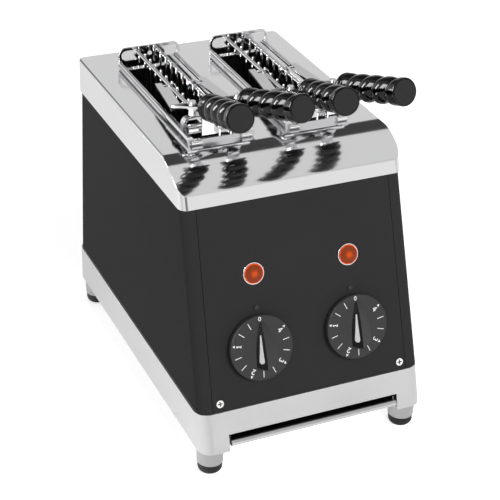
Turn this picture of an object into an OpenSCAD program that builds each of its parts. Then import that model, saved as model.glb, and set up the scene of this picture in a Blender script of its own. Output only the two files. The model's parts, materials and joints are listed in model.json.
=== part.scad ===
// Two-slot countertop sandwich toaster with two lift-out sprung tongs.
// Origin at the centre of the footprint on the worktop, front towards -Y, +Z up, millimetres.

/* [Base] */
// Width of the base band
base_width = 224; // [205:1:260]
// Depth of the base band, front to back
base_depth = 345; // [335:1:400]
// Height of the base band
base_height = 36; // [32:1:50]
// Radius of the base band's upright corners
base_corner_r = 13; // [8:1:18]
// Thickness of the base sheet
base_wall = 1.5; // [1:0.1:2.5]
// Width of the ledge folded in along the band's top
ledge_width = 16; // [13:1:20]
// Width of the flange folded in along the band's lower sides
flange_width = 27; // [25:0.5:29]
// Backward lean of the whole front, in degrees
front_lean = 17.5; // [12:0.5:20]
// Width of the notch that the crumb tray comes out of
notch_width = 170; // [164:1:176]
// Height of the notch
notch_height = 15; // [14:0.5:18]

/* [Feet] */
// Height of a foot, rubber tip included
foot_height = 27; // [18:1:40]
// Diameter of a foot at its top
foot_top_d = 25.4; // [20:0.2:28]
// Diameter of a foot above its rubber tip
foot_low_d = 24; // [18:0.2:26]
// Height of the rubber tip
pad_height = 10.5; // [5:0.5:12]
// Radius of the tip's rounded edge
pad_round = 5.5; // [3:0.5:7]
// Distance of a foot's axis from the side of the base
foot_inset = 14; // [13:0.5:16]
// Distance of a front foot's axis from the front of the base
foot_front = 16; // [15:1:30]
// Distance of a rear foot's axis from the back of the base
foot_back = 18; // [15:1:30]
// Diameter of the screw that holds a foot
foot_screw_d = 6; // [5:0.5:8]

/* [Crumb tray] */
// Height of the tray's underside above the lower flange
tray_lift = 2; // [1.5:0.5:3]
// Height of the tray's side walls
tray_height = 8; // [6:0.5:9]
// Thickness of the tray sheet
tray_wall = 1; // [0.8:0.1:1.5]
// Length of the tray behind its rolled lip
tray_length = 328; // [300:1:330]
// Diameter of the tray's rolled lip
lip_d = 6; // [5:0.5:7]
// Clearance between the tray and each runner
tray_clear = 0.5; // [0.3:0.1:1]
// Width of the ledge on each runner that carries the tray
runner_ledge = 9; // [6:1:12]
// Thickness of the runner sheet
runner_wall = 1.2; // [1:0.1:2]

/* [Casing] */
// Height of casing that shows between the base and the top cover
casing_show = 177; // [160:1:200]
// Thickness of the casing and panel sheet
casing_wall = 1.2; // [0.8:0.1:1.5]
// Radius of the casing's upright front corners
casing_front_r = 7; // [4:1:13]
// Ledge of the base beside the foot of the casing
base_ledge = 1.5; // [1:0.5:4]
// Radius of the casing's upright rear corners
casing_back_r = 8; // [5:1:12]
// Half width of the front panel, out to its seam
seam_x = 93.5; // [90:0.5:97]
// Half width of the rear panel
rear_half = 90; // [80:1:95]
// Gap at a panel's seam
seam_gap = 0.4; // [0.3:0.1:0.8]
// Width of the flange behind a seam that a panel is screwed to
seam_flange = 10; // [9:1:14]

/* [Top cover] */
// Width of the top cover
cover_width = 216; // [208:1:218]
// Height of the cover's skirt at its sides
cover_skirt = 32.5; // [30:0.5:45]
// Thickness of the cover sheet
cover_wall = 1.2; // [0.8:0.1:1.5]
// Clearance between the cover's skirt and the casing
cover_clear = 0.3; // [0.2:0.05:0.6]
// How far the cover's back stands in from the base's back
cover_back = 2; // [1:0.5:6]
// Radius of the bend that rolls the top down to its front band
brow_r = 63; // [45:1:90]
// Drop of that bend, from the flat top to the crease over the band
brow_drop = 21; // [14:0.5:24]
// Radius of the cover's rolled side edges
cover_edge_r = 3; // [1.5:0.5:5]
// Radius of the cover's upright front corners
cover_front_r = 8; // [3:0.5:8]
// Radius of the cover's upright rear corners
cover_back_r = 8; // [6:1:14]

/* [Slots] */
// Distance of each slot and its tongs from the middle
tong_x = 47.5; // [46:0.5:50]
// Width of a slot
slot_width = 54; // [52:0.5:54.5]
// Radius of a slot's corners
slot_r = 5; // [3:0.5:8]
// Distance from the tongs' front bracket to the slot's front edge
slot_start = 1; // [0.5:0.5:3]
// Distance from the slot's rear edge to the tongs' rear bracket
slot_end = 4; // [3:0.5:6]

/* [Controls] */
// Distance of a knob's axis from the middle
knob_x = 47.4; // [40:0.2:55]
// Height of a knob's axis above the worktop
knob_z = 113; // [100:1:120]
// Diameter of a knob's dial
knob_d = 60; // [50:1:66]
// Thickness of a knob's dial
dial_thick = 5.5; // [5:0.5:9]
// Gap between a dial and the panel
dial_gap = 2; // [1.5:0.5:4]
// Height of the finger grip's ridge above the dial
grip_rise = 9; // [7:0.5:12]
// Width of the finger grip's flanks where they meet the dial
grip_foot_w = 27.8; // [22:0.2:32]
// Width of the finger grip's blade where it stands on its flanks
blade_w = 14.4; // [11:0.2:17]
// Length of the finger grip, from its point to its square end
grip_length = 41.5; // [36:0.5:48]
// Distance of the grip's point from the knob's axis
grip_tip = 25; // [20:0.5:27]
// Length of the bright insert in the blade's left face
insert_length = 26; // [20:1:30]
// Width of the bright insert at its round end
insert_w = 5.2; // [4:0.2:6]
// Diameter of a timer's shaft
shaft_d = 6; // [5:0.5:8]
// Width of a timer's square body
timer_width = 44; // [36:1:50]
// Depth of a timer behind the panel
timer_depth = 32; // [25:1:38]
// Distance of a pilot lamp from the middle
lamp_x = 46.5; // [40:0.5:55]
// Height of a pilot lamp above the worktop
lamp_z = 177; // [165:1:190]
// Diameter of a lamp's bright rim
lamp_d = 20; // [16:0.5:24]
// Height of a setting mark above the worktop
mark_z = 147; // [143:0.5:150]
// Diameter of a setting mark
mark_d = 4.2; // [2.5:0.1:5]
// Diameter of a panel screw's head
screw_head_d = 7; // [5.5:0.1:8]
// Diameter of a panel screw's shank
screw_d = 3.8; // [3:0.1:4.5]

/* [Heating chamber] */
// Distance of the front bulkhead behind the cover's bend
bulkhead_front = 3; // [2:0.5:6]
// Distance of the rear bulkhead from the base's back
bulkhead_back = 26; // [24:1:28]
// Thickness of the bulkheads and the reflectors
bulkhead_wall = 1.2; // [0.8:0.1:2]
// Diameter of a quartz heating tube
tube_d = 9; // [7:0.5:10]
// Distance of the heating tubes from a slot's axis
tube_offset = 39; // [38:0.5:40]
// Height of the lowest heating tube above the base
tube_start = 32; // [25:1:45]
// Height between heating tubes
tube_pitch = 48; // [40:1:55]
// Heating tubes on each side of a slot
tube_count = 3; // [2:1:3]
// Diameter of a guard wire beside a slot
guard_d = 2.5; // [2:0.5:3]
// Distance of the guard wires from a slot's axis
guard_offset = 31.5; // [30.5:0.5:32.5]
// Distance of the outer reflectors from the middle
reflector_x = 97; // [96:0.5:99]

/* [Tongs] */
// Distance from the base's front to the tongs' front bracket
tong_front = 128; // [126:0.5:130]
// Distance between the tongs' brackets
tong_length = 174; // [172:0.5:178]
// Distance of each frame rail from the tongs' axis
rail_x = 29.5; // [29.5:0.1:31]
// Diameter of a frame rail
rail_d = 4; // [3:0.5:5]
// Height of the rails above the cover
rail_z = 5; // [4.5:0.5:6]
// Half width of a bracket
bracket_half = 31.5; // [31:0.5:33]
// Height of a bracket
bracket_h = 21.5; // [21:0.5:24]
// Thickness of a bracket plate
bracket_wall = 2; // [1.5:0.5:3]
// Width of the loop that closes each end of a bracket
loop_wall = 2.5; // [2:0.1:3.5]
// Distance of the front arch behind the front bar
arch_y = 10; // [9.5:0.5:12]
// Height of the front bar
bar_height = 4.5; // [4:0.5:6]
// Thickness of the front bar
bar_wall = 3; // [2:0.5:4]
// Diameter of the spring barrel across the front
barrel_d = 9; // [8:0.2:9.4]
// Depth of the strap bent round the front bracket
strap_depth = 6.5; // [6:0.5:8]
// Length of the sleeve that holds each rail's front end
sleeve_length = 46; // [20:1:60]
// Diameter of that sleeve
sleeve_d = 6.4; // [6:0.1:7]
// Distance of each closed jaw rod from the tongs' axis
jaw_x = 10.5; // [10:0.5:12]
// Diameter of a jaw rod
rod_d = 4; // [3:0.5:4.5]
// Height of the jaw rods above the cover
rod_z = 13.5; // [13:0.5:14.5]
// Diameter of the bush at each end of a jaw rod
bush_d = 9.4; // [8:0.2:9.8]
// Clearance round a bush in its guide window
bush_clear = 0.3; // [0.3:0.05:0.5]
// Diameter of a jaw wire
wire_d = 2.2; // [1.8:0.1:2.6]
// Distance between jaw wires
wire_pitch = 14; // [12:1:14]
// Wires in a jaw
wire_count = 11; // [8:1:11]
// Distance from the front bracket to a jaw's first wire
wire_start = 24; // [23:0.5:26]
// Depth of a jaw below the cover's top
jaw_depth = 128; // [100:1:150]
// Length of the shelf at the foot of a jaw
shelf_length = 5; // [3:0.5:5.5]

/* [Levers] */
// Distance of each lever's pivot from the tongs' axis
pivot_x = 21.5; // [21:0.1:22.5]
// Diameter of a pivot pin
pivot_d = 4; // [3:0.5:4.5]
// Width of a lever's strip
blade_width = 11; // [9:0.5:12]
// Thickness of a lever's strip
blade_thick = 2; // [1.5:0.1:2.5]
// Height of the blade above the cover
blade_z = 15; // [15:0.5:16]
// Height of the step between blade and riser
step_rise = 4; // [3:0.5:6]
// Distance from the front bracket to the fold between blade and riser
fold_y = 37; // [34:1:40]
// Distance of the fold from the tongs' axis
fold_x = 25.5; // [25:0.5:27]
// Distance from the front bracket to the clip round the jaw rod
clip_y = 89; // [87:0.5:90]
// Diameter of the clip's wire
clip_wire = 2; // [1.5:0.1:2.2]
// Clearance between the clip and the jaw rod
clip_clear = 0.7; // [0.5:0.1:1]
// Distance of a grip's collar from the tongs' axis
collar_x = 17.6; // [17:0.2:19]
// Distance of a grip's collar in front of the front bracket
collar_y = 22; // [20:0.5:24]
// Height of a grip's collar above the cover
collar_z = 42; // [40:0.5:44]
// Outward spread of a grip, in degrees
grip_spread = 6.8; // [4:0.2:8]
// Upward tilt of a grip, in degrees
grip_tilt = 18.4; // [14:0.2:22]
// Length of a grip, collar to end
handle_length = 90; // [80:1:95]
// Diameter of a grip's end and collar
handle_d = 24.5; // [22:0.5:25]
// Distance of the grip's twisted core from its axis
twist_offset = 1.9; // [1:0.1:2.5]
// Length of one turn of the grip's twist
twist_pitch = 20.5; // [14:0.5:24]
// Diameter of the tang inside a grip
tang_d = 6; // [5:0.5:8]

/* [Return spring] */
// Outer diameter of the spring that spreads the levers
spring_d = 5.5; // [5:0.1:6]
// Diameter of the spring's wire
spring_wire = 0.8; // [0.6:0.1:1]
// Curls in the spring
spring_curls = 5; // [4:1:5]

/* [Hidden] */
$fn = 48;
running_clear = 0.05;
insert_depth = 1;
insert_sunk = 0.1;
shaft_into_grip = 2;
end_lean = 0.25;
cut = 1;
tan_lean = tan(front_lean);
front_y = -base_depth / 2;
back_y = base_depth / 2;
base_top = foot_height + base_height;
cover_bottom = base_top + casing_show;
cover_top = cover_bottom + cover_skirt;
casing_top = cover_top - brow_drop - 2 * cover_wall;

function lean_y(z) = front_y + (z - foot_height) * tan_lean;
function slant(t) = t / cos(front_lean);

panel_setback = slant(cover_wall) + cover_clear;
casing_width = cover_width - 2 * (cover_wall + cover_clear);
casing_flare = (base_width / 2 - base_ledge - casing_width / 2) / (cover_bottom - base_top);
function flare_at(z) = casing_flare * (cover_bottom - z);
casing_back = cover_back + cover_wall + cover_clear;
brow_angle = acos(1 - brow_drop / brow_r);
brow_y = lean_y(cover_top - brow_drop) + brow_r * sin(brow_angle);

foot_places = [for (x = [-1, 1], y = [front_y + foot_front, back_y - foot_back])
    [x * (base_width / 2 - foot_inset), y]];
foot_bore_depth = 12;
screw_head_h = 3;

flange_z = foot_height + base_wall;
tray_z = flange_z + tray_lift;
runner_x = base_width / 2 - flange_width - runner_wall;
tray_half = runner_x - tray_clear;
tray_front = front_y + lip_d / 2 + 0.5;
runner_front = front_y + foot_front;
runner_length = base_depth - 2 * foot_front;
foot_head_d = foot_screw_d + 5;
runner_foot = base_width / 2 - foot_inset - foot_head_d / 2 - cut - runner_x;

rear_face = back_y - casing_back;
gland_x = 66;
gland_rise = 24;
gland_z = base_top + gland_rise;
function rear_screw_x(z) = rear_half + flare_at(z) - seam_flange / 2 + seam_gap;
rear_screw_low = 14;
rear_screw_high = 30;
rear_screws_z = [base_top + rear_screw_low, casing_top - rear_screw_high];
panel_screw_rise = 7.5;
panel_screw_z = base_top + panel_screw_rise;
panel_screw_x = seam_x + flare_at(panel_screw_z) - seam_flange / 2 - 2;

bulkhead_y = brow_y + bulkhead_front;
bulkhead_rear_y = back_y - bulkhead_back;
chamber_length = bulkhead_rear_y - bulkhead_y;
bulkhead_half = casing_width / 2 - casing_wall - 2;
bulkhead_top = cover_top - cover_wall;
cap_d = tube_d + 5;
cap_length = 10;
tube_places = [for (slot = [-1, 1], side = [-1, 1], i = [0 : tube_count - 1])
    [slot * tong_x + side * tube_offset, base_top + tube_start + i * tube_pitch]];
guard_places = [for (slot = [-1, 1], side = [-1, 1], i = [0 : tube_count - 1])
    [slot * tong_x + side * guard_offset, base_top + tube_start + (i + 0.5) * tube_pitch]];

tong_y = front_y + tong_front;
slot_y = tong_y + slot_start;
slot_length = tong_length - slot_start - slot_end;
window_r = bush_d / 2 + bush_clear;
window_reach = bracket_half - loop_wall - window_r;
bush_over = 0.75;
wire_x = jaw_x - (rod_d + wire_d) / 2 + 0.4;
wire_low = -jaw_depth;
wire_top = rod_z + rod_d / 2 + wire_d / 4;
barrel_y = 0.5;
barrel_z = rail_z + (sleeve_d + barrel_d) / 2;
bar_y = -5.5;
arch_low = rod_z - window_r - loop_wall;
clip_r = rod_d / 2 + clip_clear + clip_wire / 2;

riser_x = fold_x - collar_x;
riser_y = fold_y + collar_y;
riser_low = blade_z + step_rise + blade_thick / 2;
riser_z = collar_z - riser_low;
riser_turn = atan(riser_x / riser_y);
riser_rise = atan(riser_z / norm([riser_x, riser_y]));
riser_length = norm([riser_x, riser_y, riser_z]);
pivot_z = riser_low + blade_thick / 2 + riser_z * (fold_y - arch_y) / riser_y;
boss_d = pivot_d + 3;
boss_low = bracket_h + 0.4;
boss_top = pivot_z + 1.7;
pin_low = rod_z + window_r + 0.2;
blade_turn = atan((fold_x - jaw_x - clip_r - blade_width / 2) / (clip_y - fold_y));
blade_length = (clip_y - fold_y) / cos(blade_turn);
tongue_width = 6.5;
tongue_over = 5;
collar_disc = 3;
tang_length = 62;
collar_length = 7;
cap_thick = 5;

gusset_wall = 1.5;
gusset_y = barrel_y - barrel_d / 2 - 3;
gusset_part = (fold_y - gusset_y + gusset_wall / 2) / riser_y;
gusset_top = riser_low + riser_z * gusset_part;
gusset_half = 3.5;
gusset_neck = 28;
gusset_x = fold_x - riser_x * gusset_part;
tab_x = 4.5;
tab_size = spring_d + 1;
spring_y = gusset_y - gusset_wall / 2 - tab_size / 2;
spring_length = 2 * tab_x;

satin_steel = "#cfcfcf";
polished_steel = "#d8d8d8";
chrome = "#e2e2e2";
black_paint = "#3a3a3a";
black_plastic = "#1c1c1c";
rubber = "#151515";
ceramic = "#efe9dc";
quartz = "#d9dde0";
orange = "#e8502a";
zinc = "#a9adb0";

// Rectangle from the X axis backwards, with its two front corners rounded
module front_rounded(w, d, r) {
    translate([-w / 2, r]) square([w, d - r]);
    translate([-w / 2 + r, 0]) square([w - 2 * r, r + cut]);
    for (side = [-1, 1]) translate([side * (w / 2 - r), r]) circle(r);
}

// Rectangle centred on the origin, with four rounded corners
module rounded_rect(w, h, r) {
    square([w - 2 * r, h], center = true);
    square([w, h - 2 * r], center = true);
    for (x = [-1, 1], y = [-1, 1]) translate([x * (w / 2 - r), y * (h / 2 - r)]) circle(r);
}

// Level slice of the whole object between two heights
module level_slice(z0, z1) {
    translate([-base_width, -base_depth, z0]) cube([2 * base_width, 2 * base_depth, z1 - z0]);
}

// Block with a leaning front, an upright back and rounded corners
module leaning_body(w, front, back, front_r, back_r, z0, z1) {
    reach = 2 * base_depth;
    intersection() {
        translate([0, lean_y(z0) + front, z0])
            rotate([-front_lean, 0, 0])
            translate([0, 0, -reach])
            linear_extrude(2 * reach)
            front_rounded(w, reach, front_r);
        translate([0, back_y - back, z0])
            mirror([0, 1, 0])
            linear_extrude(z1 - z0)
            front_rounded(w, reach, back_r);
    }
}

// Places children on the front panel's outer face, +Z out of the panel and +Y up its slope
module on_panel(x, z) {
    translate([x, lean_y(z) + panel_setback, z]) rotate([90 - front_lean, 0, 0]) children();
}

// Places children on the rear panel's outer face, +Z out of the panel
module on_rear(x, z) {
    translate([x, rear_face, z]) rotate([-90, 0, 0]) children();
}

// Pan-head screw whose head sits on the XY plane
module screw(head_d, head_h, shank_d, shank) {
    slot = head_d / 7;
    difference() {
        union() {
            cylinder(d = head_d, h = head_h);
            translate([0, 0, -shank]) cylinder(d = shank_d, h = shank + cut / 2);
        }
        for (turn = [0, 90]) rotate(turn)
            translate([-head_d / 3, -slot / 2, head_h / 2]) cube([2 * head_d / 3, slot, head_h]);
    }
}

module base_frame() {
    color(satin_steel) difference() {
        leaning_body(base_width, 0, 0, base_corner_r, base_corner_r, foot_height, base_top);
        leaning_body(base_width - 2 * base_wall, slant(base_wall), base_wall,
            base_corner_r - base_wall, base_corner_r - base_wall, flange_z, base_top - base_wall);
        leaning_body(base_width - 2 * ledge_width, slant(ledge_width), ledge_width,
            base_wall, base_wall, base_top - base_wall - cut, base_top + cut);
        leaning_body(base_width - 2 * flange_width, slant(base_wall), base_wall,
            base_wall, base_wall, foot_height - cut, flange_z + cut);
        translate([-notch_width / 2, front_y - cut, foot_height - cut])
            cube([notch_width, notch_height * tan_lean + 2 * slant(base_wall), notch_height + cut]);
        for (p = foot_places) translate([p[0], p[1], foot_height - cut])
            cylinder(d = foot_screw_d + 2 * running_clear, h = base_wall + 2 * cut);
    }
}

module tray_runners() {
    web_height = tray_lift + tray_height;
    color(zinc) for (side = [0, 1]) mirror([side, 0, 0])
        translate([runner_x, runner_front, flange_z]) {
            cube([runner_wall, runner_length, web_height]);
            cube([runner_foot, runner_length, runner_wall]);
            translate([-runner_ledge, 0, tray_lift - runner_wall])
                cube([runner_ledge + runner_wall / 2, runner_length, runner_wall]);
        }
}

module crumb_tray() {
    color(satin_steel) {
        difference() {
            translate([-tray_half, tray_front, tray_z])
                cube([2 * tray_half, tray_length, tray_height]);
            translate([-tray_half + tray_wall, tray_front + lip_d / 2, tray_z + tray_wall])
                cube([2 * (tray_half - tray_wall), tray_length - lip_d / 2 - tray_wall, tray_height]);
            translate([-tray_half - cut, tray_front - cut, tray_z + lip_d / 2])
                cube([2 * (tray_half + cut), lip_d / 2 + cut, tray_height]);
        }
        translate([-tray_half, tray_front, tray_z + lip_d / 2])
            rotate([0, 90, 0]) cylinder(d = lip_d, h = 2 * tray_half);
    }
}

module feet() {
    top = foot_height - pad_height;
    color(satin_steel) for (p = foot_places) translate([p[0], p[1], pad_height])
        rotate_extrude() difference() {
            polygon([[0, 0], [foot_low_d / 2, 0], [foot_top_d / 2, top], [0, top]]);
            translate([-cut, top - foot_bore_depth])
                square([foot_screw_d / 2 + running_clear + cut, foot_bore_depth + cut]);
        }
}

module foot_pads() {
    pad_r = foot_low_d / 2 - 0.6;
    color(rubber) for (p = foot_places) translate([p[0], p[1], 0]) rotate_extrude() {
        square([pad_r - pad_round, pad_height]);
        translate([0, pad_round]) square([pad_r, pad_height - pad_round]);
        intersection() {
            translate([pad_r - pad_round, pad_round]) circle(pad_round);
            square([pad_r, pad_height]);
        }
    }
}

module foot_screws() {
    color(zinc) for (p = foot_places) translate([p[0], p[1], flange_z])
        screw(foot_head_d, screw_head_h, foot_screw_d, foot_bore_depth);
}

// Spreads one side's upright pieces outwards, more towards the base
module flared(side) {
    spread = side * casing_flare;
    multmatrix([[1, 0, -spread, spread * cover_bottom], [0, 1, 0, 0], [0, 0, 1, 0]]) children();
}

// Right side of the casing: wall with both corners, and the flanges behind the front and rear panels
module casing_side() {
    inner_front = panel_setback + slant(casing_wall);
    seam_depth = casing_wall + cut;
    height = casing_top - base_top;
    difference() {
        leaning_body(casing_width, panel_setback, casing_back, casing_front_r, casing_back_r,
            base_top, casing_top);
        leaning_body(casing_width - 2 * casing_wall, inner_front, casing_back + casing_wall,
            casing_front_r - casing_wall, casing_back_r - casing_wall,
            base_top - cut, casing_top + cut);
        on_panel(0, base_top) translate([-base_width, -casing_show, -seam_depth])
            cube([base_width + seam_x, 3 * casing_show, 2 * seam_depth]);
        translate([-base_width, rear_face - seam_depth, base_top - cut])
            cube([base_width + rear_half, 2 * seam_depth, height + 2 * cut]);
        translate([-base_width, -base_depth, base_top - cut])
            cube([base_width, 2 * base_depth, height + 2 * cut]);
    }
    intersection() {
        level_slice(base_top, casing_top);
        on_panel(0, base_top) translate([seam_x - seam_flange, -casing_show, -2 * casing_wall])
            cube([seam_flange + casing_wall, 3 * casing_show, casing_wall]);
    }
    translate([rear_half - seam_flange, rear_face - 2 * casing_wall, base_top])
        cube([seam_flange + casing_wall, casing_wall, height]);
}

module casing() {
    color(black_paint) difference() {
        for (side = [-1, 1]) flared(side) mirror([(1 - side) / 2, 0, 0]) casing_side();
        for (side = [-1, 1]) {
            on_panel(side * panel_screw_x, panel_screw_z) translate([0, 0, -3 * casing_wall])
                cylinder(d = screw_d + 2 * running_clear, h = 3 * casing_wall);
            for (z = rear_screws_z) on_rear(side * rear_screw_x(z), z) translate([0, 0, -3 * casing_wall])
                cylinder(d = screw_d + 2 * running_clear, h = 3 * casing_wall);
        }
    }
}

module front_panel() {
    half = seam_x - seam_gap;
    nose_hole = shaft_d + 6;
    color(black_paint) difference() {
        intersection() {
            level_slice(base_top, casing_top);
            flared(1) on_panel(0, base_top) translate([-2 * half, -casing_show, -casing_wall])
                cube([3 * half, 3 * casing_show, casing_wall]);
            flared(-1) on_panel(0, base_top) translate([-half, -casing_show, -casing_wall])
                cube([3 * half, 3 * casing_show, casing_wall]);
        }
        for (side = [-1, 1]) {
            on_panel(side * knob_x, knob_z) translate([0, 0, -2 * casing_wall])
                cylinder(d = nose_hole, h = 3 * casing_wall);
            on_panel(side * lamp_x, lamp_z) translate([0, 0, -2 * casing_wall])
                cylinder(d = lamp_d - 5.8, h = 3 * casing_wall);
            on_panel(side * lamp_x, mark_z) translate([0, 0, -2 * casing_wall])
                cylinder(d = mark_d - 1, h = 3 * casing_wall);
            on_panel(side * panel_screw_x, panel_screw_z) translate([0, 0, -2 * casing_wall])
                cylinder(d = screw_d + 2 * running_clear, h = 3 * casing_wall);
        }
    }
}

module rear_panel() {
    half = rear_half - seam_gap;
    vent_count = 11;
    vent_width = 4;
    vent_height = 46;
    vent_pitch = 12;
    gland_hole = 16;
    color(black_paint) difference() {
        intersection() {
            flared(1) translate([-2 * half, rear_face - casing_wall, base_top])
                cube([3 * half, casing_wall, casing_top - base_top]);
            flared(-1) translate([-half, rear_face - casing_wall, base_top])
                cube([3 * half, casing_wall, casing_top - base_top]);
        }
        for (i = [0 : vent_count - 1])
            on_rear((i - (vent_count - 1) / 2) * vent_pitch, cover_bottom - vent_height)
            translate([0, 0, -2 * casing_wall])
            linear_extrude(3 * casing_wall) rounded_rect(vent_width, vent_height, vent_width / 2 - 0.1);
        for (side = [-1, 1], z = rear_screws_z) on_rear(side * rear_screw_x(z), z)
            translate([0, 0, -2 * casing_wall])
            cylinder(d = screw_d + 2 * running_clear, h = 3 * casing_wall);
        on_rear(gland_x, gland_z) translate([0, 0, -2 * casing_wall])
            cylinder(d = gland_hole + 2 * running_clear, h = 3 * casing_wall);
    }
}

// Outer form of the top cover, drawn in by a margin
module cover_form(margin, z0) {
    half = cover_width / 2 - margin;
    top = cover_top - margin;
    edge = cover_edge_r - margin;
    height = top - z0;
    intersection() {
        leaning_body(2 * half, slant(margin), cover_back + margin,
            cover_front_r - margin, cover_back_r - margin, z0, top);
        translate([-base_width, 0, 0]) rotate([90, 0, 90]) linear_extrude(2 * base_width) {
            translate([brow_y, z0]) square([base_depth, height]);
            translate([brow_y, cover_top - brow_r]) circle(brow_r - margin, $fn = 120);
        }
        translate([0, base_depth, z0]) rotate([90, 0, 0]) linear_extrude(2 * base_depth) {
            translate([-half, 0]) square([2 * half, height - edge]);
            translate([-half + edge, 0]) square([2 * (half - edge), height]);
            for (side = [-1, 1]) translate([side * (half - edge), height - edge]) circle(edge);
        }
    }
}

module top_cover() {
    color(polished_steel) difference() {
        cover_form(0, cover_bottom);
        cover_form(cover_wall, cover_bottom - cut);
        for (side = [-1, 1])
            translate([side * tong_x, slot_y + slot_length / 2, cover_top - 2 * cover_wall])
            linear_extrude(3 * cover_wall) rounded_rect(slot_width, slot_length, slot_r);
    }
}

module panel_screws() {
    color(zinc) for (side = [-1, 1]) on_panel(side * panel_screw_x, panel_screw_z)
        screw(screw_head_d, 2, screw_d, 4 * casing_wall);
}

module rear_screws() {
    color(zinc) for (side = [-1, 1], z = rear_screws_z) on_rear(side * rear_screw_x(z), z)
        screw(screw_head_d, 2, screw_d, 4 * casing_wall);
}

// Upright sheet across the chamber, with a hole for each heating tube
module bulkhead(y) {
    color(zinc) difference() {
        translate([-bulkhead_half, y, base_top])
            cube([2 * bulkhead_half, bulkhead_wall, bulkhead_top - base_top]);
        for (p = tube_places) translate([p[0], y - cut, p[1]])
            rotate([-90, 0, 0]) cylinder(d = tube_d + 2 * running_clear, h = bulkhead_wall + 2 * cut);
    }
}

module front_bulkhead() {
    bulkhead(bulkhead_y - bulkhead_wall);
}

module rear_bulkhead() {
    bulkhead(bulkhead_rear_y);
}

module reflectors() {
    margin = 8;
    color(zinc) for (x = [-reflector_x, 0, reflector_x])
        translate([x - bulkhead_wall / 2, bulkhead_y, base_top + margin])
        cube([bulkhead_wall, chamber_length, cover_bottom - base_top - margin]);
}

module quartz_tubes() {
    tube_length = chamber_length + 2 * (bulkhead_wall + cap_length - 3);
    color(quartz) for (p = tube_places)
        translate([p[0], bulkhead_y + chamber_length / 2 - tube_length / 2, p[1]])
        rotate([-90, 0, 0]) cylinder(d = tube_d, h = tube_length);
}

module element_caps() {
    bore = cap_length - 2;
    color(ceramic) for (p = tube_places, end = [0, 1])
        translate([p[0], bulkhead_y + chamber_length / 2, p[1]])
        mirror([0, end, 0])
        translate([0, chamber_length / 2 + bulkhead_wall, 0]) rotate([-90, 0, 0]) difference() {
            cylinder(d = cap_d, h = cap_length);
            translate([0, 0, -cut]) cylinder(d = tube_d + 2 * running_clear, h = bore + cut);
        }
}

module slot_guards() {
    color(chrome) for (p = guard_places) translate([p[0], bulkhead_y, p[1]])
        rotate([-90, 0, 0]) cylinder(d = guard_d, h = chamber_length);
}

// Spring-wound timer behind the panel, with the nose that its shaft runs in
module timer(side) {
    nose_d = shaft_d + 5.8;
    color(zinc) on_panel(side * knob_x, knob_z) difference() {
        union() {
            translate([-timer_width / 2, -timer_width / 2, -casing_wall - timer_depth])
                cube([timer_width, timer_width, timer_depth]);
            translate([0, 0, -casing_wall - cut]) cylinder(d = nose_d, h = casing_wall + dial_gap);
        }
        translate([0, 0, -casing_wall - timer_depth / 2])
            cylinder(d = shaft_d + 2 * running_clear, h = timer_depth);
    }
}

module shaft(side) {
    low = casing_wall + timer_depth / 2;
    color(satin_steel) on_panel(side * knob_x, knob_z)
        translate([0, 0, -low])
        cylinder(d = shaft_d, h = low + dial_gap + dial_thick + shaft_into_grip);
}

// Half width of the grip at its foot, half width of its blade, and heights of its ridge and its left and
// right shoulders, at the share t of the length from the point
function flank_half(t) = grip_foot_w / 2 * pow(1 - pow(1 - min(t / 0.8, 1), 2), 0.62);
function blade_half(t) = blade_w / 2 * pow(sin(min(100 * t, 90)), 0.8);
function ridge_z(t) = grip_rise * sqrt(1 - pow(1 - t, 2));
function shoulder_z(t) = 0.16 * ridge_z(t);
function slope_z(t) = ridge_z(t) * (1 - blade_half(t) / flank_half(t));

// Finger grip on a dial's face: a blade with a steep left face and one slope on its right, drawn through
// stations from the point to the end
module finger_grip() {
    stations = 14;
    sides = 7;
    root = 0.5;
    shares = [for (i = [0 : stations - 1]) max(pow(i / (stations - 1), 1.5), 0.002)];
    points = [for (t = shares) each [
        for (p = [[-flank_half(t), -root], [-flank_half(t), 0], [-blade_half(t), shoulder_z(t)],
            [0, ridge_z(t)], [blade_half(t), slope_z(t)], [flank_half(t), 0], [flank_half(t), -root]])
            [p[0], grip_tip - t * (grip_length + end_lean * t * max(p[1], 0)), p[1]]]];
    skin = [for (i = [0 : stations - 2], j = [0 : sides - 1])
        let (k = (j + 1) % sides, a = i * sides, b = a + sides)
        each [[a + j, a + k, b + k], [a + j, b + k, b + j]]];
    end = [for (k = [3 : sides]) [2, k % sides, (k + 1) % sides]];
    point_end = [for (f = end) [f[2], f[1], f[0]]];
    square_end = [for (f = end) [for (v = f) v + (stations - 1) * sides]];
    polyhedron(points, concat(skin, point_end, square_end));
}

// Places children in the plane of the bright insert, on the blade's left face, +Y towards the point
module on_blade() {
    upper = (grip_tip - insert_length / 2) / grip_length;
    lower = upper + insert_length / grip_length;
    middle = (upper + lower) / 2;
    tilt = atan2(ridge_z(middle) - shoulder_z(middle), blade_half(middle));
    function level(t) = sin(tilt) * blade_half(t) / 2 + cos(tilt) * (ridge_z(t) + shoulder_z(t)) / 2;
    pitch = atan2(level(lower) - level(upper), insert_length);
    depth = (level(upper) + level(lower)) / 2 - level(middle);
    translate([-blade_half(middle) / 2, grip_tip - middle * grip_length,
        (ridge_z(middle) + shoulder_z(middle)) / 2])
        rotate([0, -tilt, 0]) translate([0, 0, depth]) rotate([-pitch, 0, 0]) children();
}

// Teardrop of the knob's bright insert, drawn out by a margin
module insert_plan(margin) {
    round_r = insert_w / 2;
    low = round_r - insert_length / 2;
    tip = 0.6;
    translate([0, low]) circle(round_r + margin);
    polygon([[-round_r - margin, low], [round_r + margin, low], [tip + margin, insert_length / 2 + margin],
        [-tip - margin, insert_length / 2 + margin]]);
}

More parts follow.
